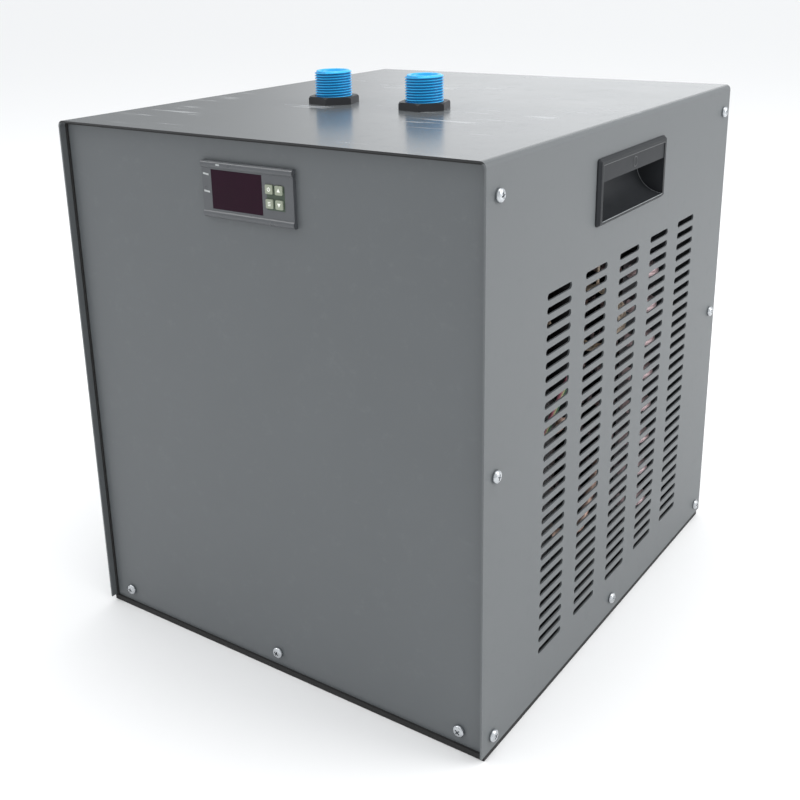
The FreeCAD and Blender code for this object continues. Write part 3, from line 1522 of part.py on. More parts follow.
controller_z = cover_bottom + controller_middle
front_y = -face_y
bezel_y = front_y - controller_face
bezel_inner_y = bezel_y + controller_wall
case_x = controller_width / 2 - controller_body_inset
case_z = controller_tall / 2 - controller_body_inset
cavity_x = case_x - controller_wall
cavity_z = case_z - controller_wall
housing_rear_y = front_y + controller_deep
BUTTONS = {
    "power_button": (-1, 1),
    "up_button": (1, 1),
    "set_button": (-1, -1),
    "down_button": (1, -1),
}


def upright_block(name, centre, half_width_x, half_height_z, near_y, far_y):
    """A block about a point of the controller's face, from one depth to another."""
    at_x, at_z = centre
    return box(name, (at_x - half_width_x, near_y, at_z - half_height_z),
               (at_x + half_width_x, far_y, at_z + half_height_z))


def button_place(name):
    """Centre of one key on the controller's face."""
    across, up = BUTTONS[name]
    return (controller_x + button_aside + button_pitch_x * (0.5 * across),
            controller_z + button_lift + button_pitch_z * (0.5 * up))


def controller_housing():
    """The moulded case of the controller with its bezel, two round rails and openings."""
    half_x = controller_width / 2
    half_z = controller_tall / 2
    centre = (controller_x, controller_z)
    bezel = upright_block("bezel_plate", centre, half_x, half_z, bezel_y, front_y)
    rails = []
    for name, way in (("top", 1), ("bottom", -1)):
        height = controller_z + (half_z - controller_rail) * way
        bar = rod(f"bezel_{name}_bar", controller_rail, controller_width,
                  (controller_x - half_x, bezel_y + controller_rail - rail_proud, height), RIGHT)
        reach = upright_block(f"bezel_{name}_reach", (controller_x, height), half_x, controller_rail,
                              bezel_y - controller_rail, front_y)
        rails.append(common(f"bezel_{name}_rail", (bar, reach)))
    case = upright_block("housing_body", centre, case_x, case_z, front_y - 1.0, housing_rear_y)
    room = upright_block("housing_room", centre, cavity_x, cavity_z, bezel_inner_y, housing_rear_y + 1.0)
    window = upright_block("housing_window", window_place, window_width / 2 + window_gap,
                           window_tall / 2 + window_gap, bezel_y - 1.0, bezel_y + window_thickness)
    glimpse = upright_block("housing_glimpse", window_place, window_width / 2 - window_ledge,
                            window_tall / 2 - window_ledge, bezel_y, bezel_inner_y + 1.0)
    keyhole = button_side / 2 + button_gap
    keyholes = [upright_block(name + "_hole", button_place(name), keyhole, keyhole,
                              bezel_y - 1.0, bezel_inner_y + 1.0) for name in BUTTONS]
    solid = fuse("housing_solid", [bezel, case] + rails)
    return node(cut("controller_housing", solid, [room, window, glimpse] + keyholes), "controller_housing")


window_place = (controller_x + window_aside, controller_z + window_lift)


def display_window():
    """The dark lens over the digits."""
    return node(upright_block("display_window", window_place, window_width / 2, window_tall / 2,
                              bezel_y, bezel_y + window_thickness), "display_window")


def controller_button(name):
    """A square key with a lip behind the face and a stem towards its switch."""
    at_x, at_z = button_place(name)
    half = button_side / 2
    lip = half + button_lip
    lip_front = bezel_inner_y + button_slack
    key_front = bezel_y - button_proud
    cap = body(name + "_cap")
    outline = sketch(cap, name + "_outline", "XZ_Plane", -key_front)
    rounded_rectangle(outline, (at_x - half, at_z - half), (at_x + half, at_z + half), button_round)
    pad(cap, outline, lip_front + 0.5 - key_front, reverse=True)
    stem_end = front_y + board_setback - switch_body - switch_plunger - button_travel - button_slack
    lip_rear = lip_front + button_lip_deep
    pieces = (
        cap,
        upright_block(name + "_lip", (at_x, at_z), lip, lip, lip_front, lip_rear),
        upright_block(name + "_stem", (at_x, at_z), button_stem / 2, button_stem / 2, lip_rear - 0.5, stem_end),
    )
    return node(fuse(name, pieces), name)


def controller_board():
    """The circuit board with its four switches, digit block, relay and transformer."""
    board_y = front_y + board_setback
    rear = board_y + board_thickness
    half = switch_side / 2
    pieces = [
        upright_block("board_plate", (controller_x, controller_z), cavity_x - board_fit, cavity_z - board_fit,
                      board_y, rear),
        upright_block("digit_block", window_place, digits_width / 2, digits_tall / 2,
                      board_y - digits_deep, board_y + 0.5),
        upright_block("board_relay", (controller_x + relay_aside, controller_z), relay_width / 2,
                      relay_tall / 2, rear - 0.5, rear + relay_deep),
        upright_block("board_transformer", (controller_x + transformer_aside, controller_z),
                      transformer_width / 2, transformer_tall / 2, rear - 0.5, rear + transformer_deep),
    ]
    for name in BUTTONS:
        at_x, at_z = button_place(name)
        pieces.append(upright_block(name + "_switch", (at_x, at_z), half, half,
                                    board_y - switch_body, board_y + 0.5))
        pieces.append(rod(name + "_plunger", plunger_radius, switch_plunger + 0.5,
                          (at_x, board_y - switch_body + 0.5, at_z), FRONT))
    return node(fuse("controller_board", pieces), "controller_board")


def controller_back():
    """The rear cover of the controller's case."""
    centre = (controller_x, controller_z)
    plate = upright_block("back_plate", centre, case_x, case_z, housing_rear_y, housing_rear_y + controller_wall)
    step = upright_block("back_step", centre, cavity_x - board_fit, cavity_z - board_fit,
                         housing_rear_y - back_step, housing_rear_y + 0.5)
    return node(fuse("controller_back", (plate, step)), "controller_back")


def controller_terminals():
    """A row of cage terminals behind the rear cover."""
    near_y = housing_rear_y + controller_wall
    centre = (controller_x, controller_z)
    block = upright_block("cage_block", centre, cage_row / 2, cage_tall / 2, near_y, near_y + cage_deep)
    step_z = controller_z - cage_tall / 2 - cage_step / 2
    step = upright_block("cage_step", (controller_x, step_z), cage_row / 2, cage_step / 2 + 0.5,
                         near_y, near_y + cage_deep / 2)
    pitch = cage_row / cage_count
    mouths = []
    for index in range(cage_count):
        at_x = controller_x - cage_row / 2 + pitch * (index + 0.5)
        mouths.append(upright_block(f"cage_mouth_{index + 1}", (at_x, controller_z), cage_mouth / 2,
                                    cage_mouth / 2, near_y + cage_deep / 2, near_y + cage_deep + 1.0))
    return node(cut("controller_terminals", fuse("cage_solid", (block, step)), mouths), "controller_terminals")


def controller_clips():
    """Two sliding clips that draw the bezel against the panel from behind."""
    near_y = front_y + panel_gauge
    clips = []
    for name, way in (("left", -1), ("right", 1)):
        arm_x = controller_x + (case_x + clip_gap + clip_thickness / 2) * way
        toe_x = controller_x + (case_x + clip_gap + (clip_thickness + clip_toe) / 2) * way
        arm = upright_block(f"{name}_clip_arm", (arm_x, controller_z), clip_thickness / 2, clip_wide / 2,
                            near_y, near_y + clip_length)
        toe = upright_block(f"{name}_clip_toe", (toe_x, controller_z), (clip_thickness + clip_toe) / 2,
                            clip_toe_wide / 2, near_y, near_y + clip_toe_deep)
        clips.append(fuse(f"{name}_clip", (arm, toe)))
    return node(group("controller_clips", clips), "controller_clips")


cabinet_cover()
front_panel()
rear_panel()
base_tray()
rubber_feet()
cabinet_screws()
carrying_handle("right_handle", 1)
carrying_handle("left_handle", -1)
for port_name, port_place in connector_places.items():
    water_connector(port_name + "_connector", port_place)
    lock_nut(port_name + "_lock_nut", port_place)
connector_gaskets()
evaporator_barrel()
barrel_lid_piece()
lid_screws()
evaporator_coil()
temperature_probe()
barrel_insulation()
barrel_stand()
compressor()
compressor_mounts()
compressor_terminal_box()
discharge_tube()
suction_tube()
liquid_tube()
process_tube()
filter_drier()
capillary_tube()
condenser_coil()
condenser_fins()
condenser_end_plates()
fan_shroud()
fan_impeller()
fan_shaft()
fan_motor()
motor_bracket()
cord_bushing()
controller_housing()
display_window()
for button_name in BUTTONS:
    controller_button(button_name)
controller_board()
controller_back()
controller_terminals()
controller_clips()

doc.recompute()

faults = []
for item in doc.Objects:
    if "Invalid" in item.State or "Error" in item.State:
        faults.append(f"{item.Label}: {item.State}")
for item in nodes:
    if item.Shape.isNull() or not item.Shape.isValid():
        faults.append(f"{item.Label}: bad shape")
if faults:
    raise RuntimeError("; ".join(faults))

os.makedirs("parts", exist_ok=True)
for item in nodes:
    item.Shape.exportStep(os.path.join("parts", item.Label + ".step"))
    print(f"{item.Label:28s} solids {len(item.Shape.Solids):3d}  volume {item.Shape.Volume:12.1f}")
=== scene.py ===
"""Looks of the aquarium chiller: paint, plastics, threads, screws, tubes, light and camera."""
import json
import math

import bmesh
import bpy
from mathutils import Matrix, Vector


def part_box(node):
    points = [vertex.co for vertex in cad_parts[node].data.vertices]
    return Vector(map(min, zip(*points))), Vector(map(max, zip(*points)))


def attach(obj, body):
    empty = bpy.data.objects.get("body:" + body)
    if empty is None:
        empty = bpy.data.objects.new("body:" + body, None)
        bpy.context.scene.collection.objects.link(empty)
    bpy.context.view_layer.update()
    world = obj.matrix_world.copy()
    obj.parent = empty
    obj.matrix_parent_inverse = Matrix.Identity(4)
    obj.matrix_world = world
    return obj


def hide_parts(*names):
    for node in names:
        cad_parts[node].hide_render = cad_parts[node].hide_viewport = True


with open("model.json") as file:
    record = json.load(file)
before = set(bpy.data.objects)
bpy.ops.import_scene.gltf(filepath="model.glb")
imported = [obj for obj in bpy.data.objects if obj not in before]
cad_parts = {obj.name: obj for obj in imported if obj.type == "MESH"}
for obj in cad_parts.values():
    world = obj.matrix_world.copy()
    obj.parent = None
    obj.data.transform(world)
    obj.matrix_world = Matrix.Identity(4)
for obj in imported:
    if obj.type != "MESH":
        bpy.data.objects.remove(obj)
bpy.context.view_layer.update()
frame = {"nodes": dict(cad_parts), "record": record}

MM = 0.001
X_AXIS = Vector((1, 0, 0))
Y_AXIS = Vector((0, 1, 0))
Z_AXIS = Vector((0, 0, 1))


# Shader building

class Shade:
    """A socket of a material's nodes; arithmetic on it adds Math nodes."""

    def __init__(self, paint, socket):
        self.paint = paint
        self.socket = socket

    def calculate(self, operation, *values):
        return self.paint.node("ShaderNodeMath", {"operation": operation}, dict(enumerate(values)))

    def __add__(self, other):
        return self.calculate("ADD", self, other)

    def __radd__(self, other):
        return self.calculate("ADD", other, self)

    def __sub__(self, other):
        return self.calculate("SUBTRACT", self, other)

    def __rsub__(self, other):
        return self.calculate("SUBTRACT", other, self)

    def __mul__(self, other):
        return self.calculate("MULTIPLY", self, other)

    def __rmul__(self, other):
        return self.calculate("MULTIPLY", other, self)

    def between(self, low, high):
        """0 below low, 1 above high and smooth between them."""
        return self.paint.node("ShaderNodeMapRange", {"interpolation_type": "SMOOTHSTEP"},
                               {"Value": self, "From Min": low, "From Max": high})


class Paint:
    """One material on a Principled shader, read in Object coordinates."""

    def __init__(self, name, **constants):
        self.material = bpy.data.materials.new(name)
        self.material.use_nodes = True
        self.tree = self.material.node_tree
        self.shader = self.tree.nodes["Principled BSDF"]
        for socket, value in constants.items():
            self.feed(socket.replace("_", " ").title().replace("Ior", "IOR"), value)
        self.place = self.node("ShaderNodeTexCoord", {}, {}, "Object")

    def node(self, kind, settings, inputs, output=0):
        """Adds a node: its settings first, then its sockets; gives one of its outputs."""
        item = self.tree.nodes.new(kind)
        for name, value in settings.items():
            setattr(item, name, value)
        for name, value in inputs.items():
            self.join(item.inputs[name], value)
        return Shade(self, item.outputs[output])

    def join(self, socket, value):
        if isinstance(value, Shade):
            self.tree.links.new(value.socket, socket)
        elif isinstance(value, (tuple, list)) and len(value) == 3 and socket.type == "RGBA":
            socket.default_value = (*value, 1.0)
        else:
            socket.default_value = value

    def feed(self, name, value):
        """Sets or links a socket of the shader."""
        self.join(self.shader.inputs[name], value)

    def noise(self, size, detail=3.0, stretch=(1.0, 1.0, 1.0), roughness=0.5):
        """Cloudy noise whose blotches are about one size across, in metres."""
        place = self.place
        if stretch != (1.0, 1.0, 1.0):
            place = self.node("ShaderNodeMapping", {}, {"Vector": self.place, "Scale": stretch})
        return self.node("ShaderNodeTexNoise", {}, {"Vector": place, "Scale": 1.0 / size,
                                                    "Detail": detail, "Roughness": roughness})

    def blend(self, share, first, second):
        """A colour between two colours."""
        return self.node("ShaderNodeMix", {"data_type": "RGBA"}, {0: share, 6: first, 7: second}, 2)

    def raised(self, height, depth, strength=1.0):
        """A bump of a real depth in metres."""
        return self.node("ShaderNodeBump", {}, {"Height": height, "Distance": depth,
                                                "Strength": strength})

    def axes(self):
        """The place on the object as three numbers."""
        parts = self.node("ShaderNodeSeparateXYZ", {}, {"Vector": self.place})
        outputs = parts.socket.node.outputs
        return [Shade(self, outputs[index]) for index in range(3)]


def grained(name, colour, roughness, metallic=0.0, grain=0.4 * MM, depth=0.02 * MM, mottle=0.12,
            mottle_size=12 * MM, **constants):
    """A plain finish with a fine grain, slight blotches and a little uneven gloss."""
    paint = Paint(name, metallic=metallic, **constants)
    clouds = paint.noise(mottle_size)
    light = tuple(min(1.0, part * (1 + mottle)) for part in colour)
    dark = tuple(part * (1 - mottle) for part in colour)
    paint.feed("Base Color", paint.blend(clouds, dark, light))
    paint.feed("Roughness", (clouds - 0.5) * 0.16 + roughness)
    paint.feed("Normal", paint.raised(paint.noise(grain, 2.0), depth))
    return paint.material


def powder_coat(name, colour, roughness, scuffs=False):
    """Satin powder coat: orange peel, faint dust and, on the top sheet, handling scuffs and
    near-black end edges as painted shade.
    """
    paint = Paint(name, specular_ior_level=COAT_SPECULAR)
    clouds = paint.noise(CLOUD_SIZE, 4.0)
    fine = paint.noise(FINE_SIZE, 3.0)
    peel = paint.noise(PEEL_SIZE, 2.0)
    dust = paint.noise(DUST_SIZE, 8.0, roughness=0.7).between(0.52, 0.8)
    light = tuple(part * 1.05 for part in colour)
    dark = tuple(part * 0.96 for part in colour)
    base = paint.blend(clouds, dark, light)
    gloss = (clouds - 0.5) * 0.05 + roughness + dust * 0.05
    if scuffs:
        _, along, height = paint.axes()
        on_top = height.between(TOP_Z - 1.0 * MM, TOP_Z - 0.3 * MM)
        strokes = paint.noise(STROKE_SIZE, 4.0, (0.3, 2.2, 1.0), 0.6).between(0.54, 0.68)
        wisps = paint.noise(WISP_SIZE, 2.0, (0.8, 1.2, 1.0), 0.5).between(0.5, 0.62)
        worn = strokes * wisps * on_top
        base = paint.blend(worn * 0.5 + dust * on_top * 0.04, base, SCUFF_TINT)
        # Painted shade: the top sheet's front and rear edge faces are coloured near-black.
        away = along.calculate("ABSOLUTE", along)
        edge_shade_mask = away.between(cover_high.y - 0.1 * MM, cover_high.y - 0.05 * MM)
        upper = height.between(TOP_Z - 1.5 * MM, TOP_Z - 1.3 * MM)
        base = paint.blend(edge_shade_mask * upper, base, EDGE_SHADE_COLOUR)
        gloss = gloss - on_top * TOP_SHINE + worn * 0.12
    else:
        base = paint.blend(dust * 0.03, base, SCUFF_TINT)
    paint.feed("Base Color", base)
    paint.feed("Roughness", gloss)
    paint.feed("Normal", paint.raised(fine * 0.4 + peel, PEEL_DEPTH, 0.35))
    return paint.material


# Places read from the frame

cover_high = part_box("cabinet_cover")[1]
TOP_Z = cover_high.z
SCUFF_TINT = (0.62, 0.64, 0.66)
# Near-black of the painted shade on the top sheet's end edges.
EDGE_SHADE_COLOUR = (0.012, 0.013, 0.014)
TOP_SHINE = 0.24
PEEL_DEPTH = 0.05 * MM
PEEL_SIZE = 2.6 * MM
FINE_SIZE = 0.9 * MM
DUST_SIZE = 9 * MM
CLOUD_SIZE = 60 * MM
STROKE_SIZE = 22 * MM
WISP_SIZE = 70 * MM
COAT_SPECULAR = 0.45

COVER_GREY = (0.112, 0.121, 0.126)
# The end panels' grey is the cover's grey made a little darker, as painted shade.
SHADED_PANEL_GREY = (0.102, 0.111, 0.117)
CHARCOAL = (0.029, 0.031, 0.034)

cover_paint = powder_coat("cover_paint", COVER_GREY, 0.46, scuffs=True)
panel_paint = powder_coat("panel_paint", SHADED_PANEL_GREY, 0.46)
tray_paint = grained("tray_paint", (0.02, 0.02, 0.021), 0.5)
foot_rubber = grained("foot_rubber", (0.012, 0.012, 0.012), 0.8, grain=0.8 * MM)
zinc_screws = grained("zinc_screws", (0.50, 0.52, 0.54), 0.24, 1.0, grain=0.25 * MM, depth=0.01 * MM,
                      mottle=0.25, mottle_size=2 * MM)
handle_plastic = grained("handle_plastic", CHARCOAL, 0.4, grain=0.5 * MM, depth=0.03 * MM,
                         specular_ior_level=0.07)
# The handle's beads are lighter than its plastic as painted highlights: the lower lip, the cheeks and
# the rim; the rim's finish also colours the moulded ring.
lip_highlight_plastic = grained("lip_highlight_plastic", (0.20, 0.22, 0.225), 0.35, grain=0.8 * MM, depth=0.01 * MM,
                         mottle=0.5, mottle_size=7 * MM)
cheek_highlight_plastic = grained("cheek_highlight_plastic", (0.17, 0.18, 0.19), 0.35, grain=0.8 * MM, depth=0.01 * MM)
rim_highlight_and_ring = grained("rim_highlight_and_ring", (0.052, 0.056, 0.058), 0.35, grain=0.8 * MM, depth=0.01 * MM,
                    mottle=0.4, mottle_size=7 * MM)
blue_plastic = grained("blue_plastic", (0.015, 0.43, 0.82), 0.3, grain=1.2 * MM, depth=0.01 * MM,
                       mottle=0.05)
# Darker blue for the thread's grooves, as painted shade.
groove_shade_blue = grained("groove_shade_blue", (0.004, 0.20, 0.50), 0.4, mottle=0.05)
nut_plastic = grained("nut_plastic", (0.018, 0.019, 0.022), 0.42, grain=0.5 * MM,
                      specular_ior_level=0.4)
gasket_rubber = grained("gasket_rubber", (0.015, 0.015, 0.015), 0.75)
barrel_plastic = grained("barrel_plastic", (0.03, 0.03, 0.032), 0.4)
foam_sleeve = grained("foam_sleeve", (0.014, 0.014, 0.015), 0.9, grain=1.5 * MM, depth=0.3 * MM)
# Much darker than galvanised steel, as painted shade inside the cabinet.
galvanised_sheet = grained("galvanised_sheet", (0.22, 0.225, 0.235), 0.45, 1.0, mottle=0.2,
                           mottle_size=6 * MM)
compressor_enamel = grained("compressor_enamel", (0.012, 0.012, 0.013), 0.28)
terminal_plastic = grained("terminal_plastic", (0.02, 0.02, 0.021), 0.45)
copper_tube = grained("copper_tube", (0.92, 0.60, 0.49), 0.34, 0.5, grain=1.0 * MM, mottle=0.2)
coil_copper = grained("coil_copper", (0.95, 0.66, 0.68), 0.34, 0.35, grain=1.0 * MM, mottle=0.2)
fine_copper = grained("fine_copper", (1.0, 0.80, 0.64), 0.3, 0.25, grain=0.6 * MM, mottle=0.05)
titanium_tube = grained("titanium_tube", (0.42, 0.40, 0.38), 0.34, 1.0)
# Much darker than aluminium, as painted shade inside the cabinet.
fin_aluminium = grained("fin_aluminium", (0.14, 0.14, 0.15), 0.45, 1.0)
fan_plastic = grained("fan_plastic", (0.02, 0.02, 0.021), 0.42)
shaft_steel = grained("shaft_steel", (0.55, 0.55, 0.56), 0.25, 1.0)
motor_enamel = grained("motor_enamel", (0.03, 0.03, 0.032), 0.4)
bushing_nylon = grained("bushing_nylon", (0.02, 0.02, 0.02), 0.45)
controller_plastic = grained("controller_plastic", (0.074, 0.079, 0.086), 0.3, grain=0.35 * MM,
                             depth=0.02 * MM)
display_lens = grained("display_lens", (0.017, 0.0035, 0.011), 0.16, grain=3 * MM, depth=0.002 * MM,
                       specular_ior_level=0.09)
button_plastic = grained("button_plastic", (0.26, 0.29, 0.22), 0.45, mottle=0.08)
keypad_green = grained("keypad_green", (0.035, 0.055, 0.035), 0.5, mottle=0.1)
# The condenser's end plates, darker again than the galvanised sheet, as painted shade inside the
# cabinet.
end_plate_shade = grained("end_plate_shade", (0.07, 0.07, 0.075), 0.5, 1.0, mottle=0.2,
                          mottle_size=6 * MM)
red_wire = grained("red_wire", (0.62, 0.20, 0.26), 0.4)
green_wire = grained("green_wire", (0.08, 0.20, 0.11), 0.4)
yellow_wire = grained("yellow_wire", (0.66, 0.64, 0.36), 0.4)
circuit_board = grained("circuit_board", (0.015, 0.13, 0.05), 0.35)
clip_plastic = grained("clip_plastic", (0.65, 0.16, 0.02), 0.4)
white_print = grained("white_print", (0.42, 0.44, 0.44), 0.5, mottle=0.3, mottle_size=1.5 * MM)
ivory_print = grained("ivory_print", (0.86, 0.88, 0.80), 0.5, mottle=0.05)

FINISHES = {
    "cover_paint": cover_paint,
    "panel_paint": panel_paint,
    "tray_paint": tray_paint,
    "foot_rubber": foot_rubber,
    "zinc_screws": zinc_screws,
    "handle_plastic": handle_plastic,
    "blue_plastic": blue_plastic,
    "nut_plastic": nut_plastic,
    "gasket_rubber": gasket_rubber,
    "barrel_plastic": barrel_plastic,
    "foam_sleeve": foam_sleeve,
    "galvanised_sheet": galvanised_sheet,
    "compressor_enamel": compressor_enamel,
    "terminal_plastic": terminal_plastic,
    "copper_tube": copper_tube,
    "titanium_tube": titanium_tube,
    "fin_aluminium": fin_aluminium,
    "fan_plastic": fan_plastic,
    "shaft_steel": shaft_steel,
    "motor_enamel": motor_enamel,
    "bushing_nylon": bushing_nylon,
    "controller_plastic": controller_plastic,
    "display_lens": display_lens,
    "button_plastic": button_plastic,
    "circuit_board": circuit_board,
    "clip_plastic": clip_plastic,
}

SPECIAL_FINISHES = {
    "condenser_end_plates": end_plate_shade,
    "capillary_tube": fine_copper,
}

for subpart in frame["record"]["subparts"]:
    item = frame["nodes"][subpart["node"]]
    item.data.materials.clear()
    plain = FINISHES[subpart["material_slot"]]
    item.data.materials.append(SPECIAL_FINISHES.get(subpart["node"], plain))


# Building pieces

WELD = 0.0005 * MM
MERGE = 0.001 * MM
TOUCH = 0.01 * MM


def piece(name, form, finish, nodes=(), body="root", crease=35.0):
    """Makes an object of a finished form, at the origin, and hangs it on its body."""
    bmesh.ops.remove_doubles(form, verts=form.verts, dist=WELD)
    bmesh.ops.recalc_face_normals(form, faces=form.faces)
    mesh = bpy.data.meshes.new(name)
    form.to_mesh(mesh)
    form.free()
    mesh.materials.append(finish)
    mesh.shade_smooth()
    mesh.set_sharp_from_angle(angle=math.radians(crease))
    item = bpy.data.objects.new(name, mesh)
    bpy.context.collection.objects.link(item)
    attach(item, body)
    if nodes:
        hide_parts(*nodes)
    return item


def solids_of(node):
    """The lowest and highest corner of each solid of a CAD node, from a merged copy of its mesh."""
    form = bmesh.new()
    form.from_mesh(frame["nodes"][node].data)
    bmesh.ops.remove_doubles(form, verts=form.verts, dist=MERGE)
    waiting = set(form.verts)
    found = []
    while waiting:
        front = [waiting.pop()]
        members = []
        while front:
            vertex = front.pop()
            members.append(vertex.co.copy())
            for edge in vertex.link_edges:
                other = edge.other_vert(vertex)
                if other in waiting:
                    waiting.remove(other)
                    front.append(other)
        low = Vector([min(point[axis] for point in members) for axis in range(3)])
        high = Vector([max(point[axis] for point in members) for axis in range(3)])
        found.append((low, high))
    form.free()
    return sorted(found, key=lambda corners: tuple(round(part, 5) for part in corners[0]))


def chain(form, points):
    """A line of edges through points."""
    verts = [form.verts.new(point) for point in points]
    edges = [form.edges.new(pair) for pair in zip(verts, verts[1:])]
    return verts + edges


def turned(form, outline, steps):
    """Turns an outline of (radius, height) pairs about the Z axis into a closed form."""
    line = chain(form, [Vector((radius, 0.0, height)) for radius, height in outline])
    bmesh.ops.spin(form, geom=line, cent=(0, 0, 0), axis=Z_AXIS, angle=2 * math.pi,
                   steps=steps, use_merge=True)
    bmesh.ops.remove_doubles(form, verts=form.verts, dist=MERGE)


def shaped(base, tool, operation="DIFFERENCE"):
    """The mesh of one form cut by another."""
    made = []
    for name, form in (("base", base), ("tool", tool)):
        bmesh.ops.recalc_face_normals(form, faces=form.faces)
        mesh = bpy.data.meshes.new(name)
        form.to_mesh(mesh)
        form.free()
        item = bpy.data.objects.new(name, mesh)
        bpy.context.collection.objects.link(item)
        made.append(item)
    cutter = made[0].modifiers.new("cut", "BOOLEAN")
    cutter.operation = operation
    cutter.solver = "EXACT"
    cutter.object = made[1]
    view = bpy.context.evaluated_depsgraph_get()
    mesh = bpy.data.meshes.new_from_object(made[0].evaluated_get(view))
    for item in made:
        bpy.data.objects.remove(item)
    return mesh


def copies(mesh, places):
    """One form that holds a mesh at several places."""
    form = bmesh.new()
    for place in places:
        before = len(form.verts)
        form.from_mesh(mesh)
        form.verts.ensure_lookup_table()
        bmesh.ops.transform(form, matrix=place, verts=form.verts[before:])
    return form


def block(form, low, high):
    """A box between two corners."""
    low, high = Vector(low), Vector(high)
    made = bmesh.ops.create_cube(form, size=1.0)["verts"]
    bmesh.ops.scale(form, vec=high - low, verts=made)
    bmesh.ops.translate(form, vec=(low + high) / 2, verts=made)


def pipe(corners, radius, bend, sides=14, closed=False):
    """A round tube through corners, bent at each of them; a closed one ends where it starts."""
    form = bmesh.new()
    corners = [Vector(corner) for corner in corners]
    ahead = (corners[1] - corners[0]).normalized()
    upright = ahead.to_track_quat("Z", "Y").to_matrix().to_4x4()
    made = bmesh.ops.create_circle(form, cap_ends=False, radius=radius, segments=sides,
                                   matrix=Matrix.Translation(corners[0]) @ upright)
    ring = list({edge for vert in made["verts"] for edge in vert.link_edges})
    at = corners[0]
    start = list(ring)

    def straight(ring, at, goal):
        if (goal - at).length < TOUCH:
            return ring
        made = bmesh.ops.extrude_edge_only(form, edges=ring)["geom"]
        verts = [part for part in made if isinstance(part, bmesh.types.BMVert)]
        bmesh.ops.translate(form, vec=goal - at, verts=verts)
        return [part for part in made if isinstance(part, bmesh.types.BMEdge)
                and all(vert in verts for vert in part.verts)]

    for before, corner, after in zip(corners, corners[1:], corners[2:]):
        into, out = (corner - before).normalized(), (after - corner).normalized()
        turn = into.angle(out)
        back = bend * math.tan(turn / 2)
        ring = straight(ring, at, corner - into * back)
        centre = corner + (out - into).normalized() * (bend / math.cos(turn / 2))
        axis = into.cross(out).normalized()
        verts = list({vert for edge in ring for vert in edge.verts})
        steps = max(2, round(math.degrees(turn) / 15.0))
        last = bmesh.ops.spin(form, geom=verts + ring, cent=centre, axis=axis, angle=turn,
                              steps=steps, use_merge=False)["geom_last"]
        ring = [part for part in last if isinstance(part, bmesh.types.BMEdge)]
        at = corner + out * back
    ring = straight(ring, at, corners[-1])
    if closed:
        bmesh.ops.remove_doubles(form, verts=form.verts, dist=0.02 * MM)
    else:
        for end in (start, ring):
            bmesh.ops.edgeloop_fill(form, edges=end)
    return form


# Screws

SCREW_HEAD = 4.1 * MM
SCREW_TALL = 3.0 * MM
SCREW_SHANK = 2.4 * MM
RECESS_ARM = 2.2 * MM
RECESS_WIDTH = 0.95 * MM
RECESS_DEPTH = 2.0 * MM
RECESS_TAPER = 0.6
RECESS_TURN = 37.0
SHANK_LONG = 8.0 * MM
DOME_STEPS = 6
HEAD_STEPS = 36


def pan_head(shank_length):
    """A domed head with a cross recess, seated at the origin with its shank down the Z axis."""
    head = bmesh.new()
    outline = [(0.0, SCREW_TALL)]
    for step in range(1, DOME_STEPS + 1):
        angle = math.radians(90.0 * step / DOME_STEPS)
        outline.append((SCREW_HEAD * (0.34 + 0.66 * math.sin(angle)),
                        SCREW_TALL * (0.30 + 0.70 * math.cos(angle) ** 0.8)))
    outline += [(SCREW_HEAD, SCREW_TALL * 0.12), (SCREW_HEAD * 0.95, 0.0),
                (SCREW_SHANK, 0.0), (SCREW_SHANK, -shank_length), (0.0, -shank_length - SCREW_SHANK)]
    turned(head, outline, HEAD_STEPS)
    cross = bmesh.new()
    arm, half, above = RECESS_ARM, RECESS_WIDTH / 2, SCREW_TALL + MM
    corners = []
    for quarter in range(4):
        turn = Matrix.Rotation(math.radians(90.0 * quarter), 4, "Z")
        corners += [turn @ Vector(corner) for corner in
                    ((arm, -half, above), (arm, half, above), (half, half, above))]
    mouth = cross.faces.new([cross.verts.new(corner) for corner in corners])
    made = bmesh.ops.extrude_face_region(cross, geom=[mouth])["geom"]
    floor_verts = [part for part in made if isinstance(part, bmesh.types.BMVert)]
    bmesh.ops.translate(cross, vec=(0, 0, -RECESS_DEPTH - MM), verts=floor_verts)
    bmesh.ops.scale(cross, vec=(RECESS_TAPER, RECESS_TAPER, 1.0), verts=floor_verts)
    return shaped(head, cross)


def screw_places(node):
    """A placement for each screw of a node: on its seat, head outwards, recess turned a little."""
    places = []
    for index, (low, high) in enumerate(solids_of(node)):
        size = high - low
        middle = (low + high) / 2
        axis = 0 if size.x > size.y else 1
        outwards = Vector((0, 0, 0))
        outwards[axis] = 1 if middle[axis] > 0 else -1
        seat = middle.copy()
        edge = high[axis] if middle[axis] > 0 else low[axis]
        seat[axis] = edge - outwards[axis] * SCREW_TALL
        turn = Matrix.Rotation(math.radians(RECESS_TURN * index), 4, "Z")
        facing = outwards.to_track_quat("Z", "Y").to_matrix().to_4x4()
        places.append(Matrix.Translation(seat) @ facing @ turn)
    return places


piece("cabinet_screw_heads", copies(pan_head(SHANK_LONG), screw_places("cabinet_screws")),
      zinc_screws, ("cabinet_screws",))


# Rear panel's air slots

SLOT_LONG = 32.5 * MM
SLOT_TALL = 4.4 * MM
SLOT_STEPS = 6
REAR_COLUMNS = 3
REAR_ROWS = 19
REAR_COLUMN_PITCH = 52.35 * MM
REAR_ROW_PITCH = 8.625 * MM
CUT_INSIDE = 4.0 * MM
CUT_OUTSIDE = 2.0 * MM


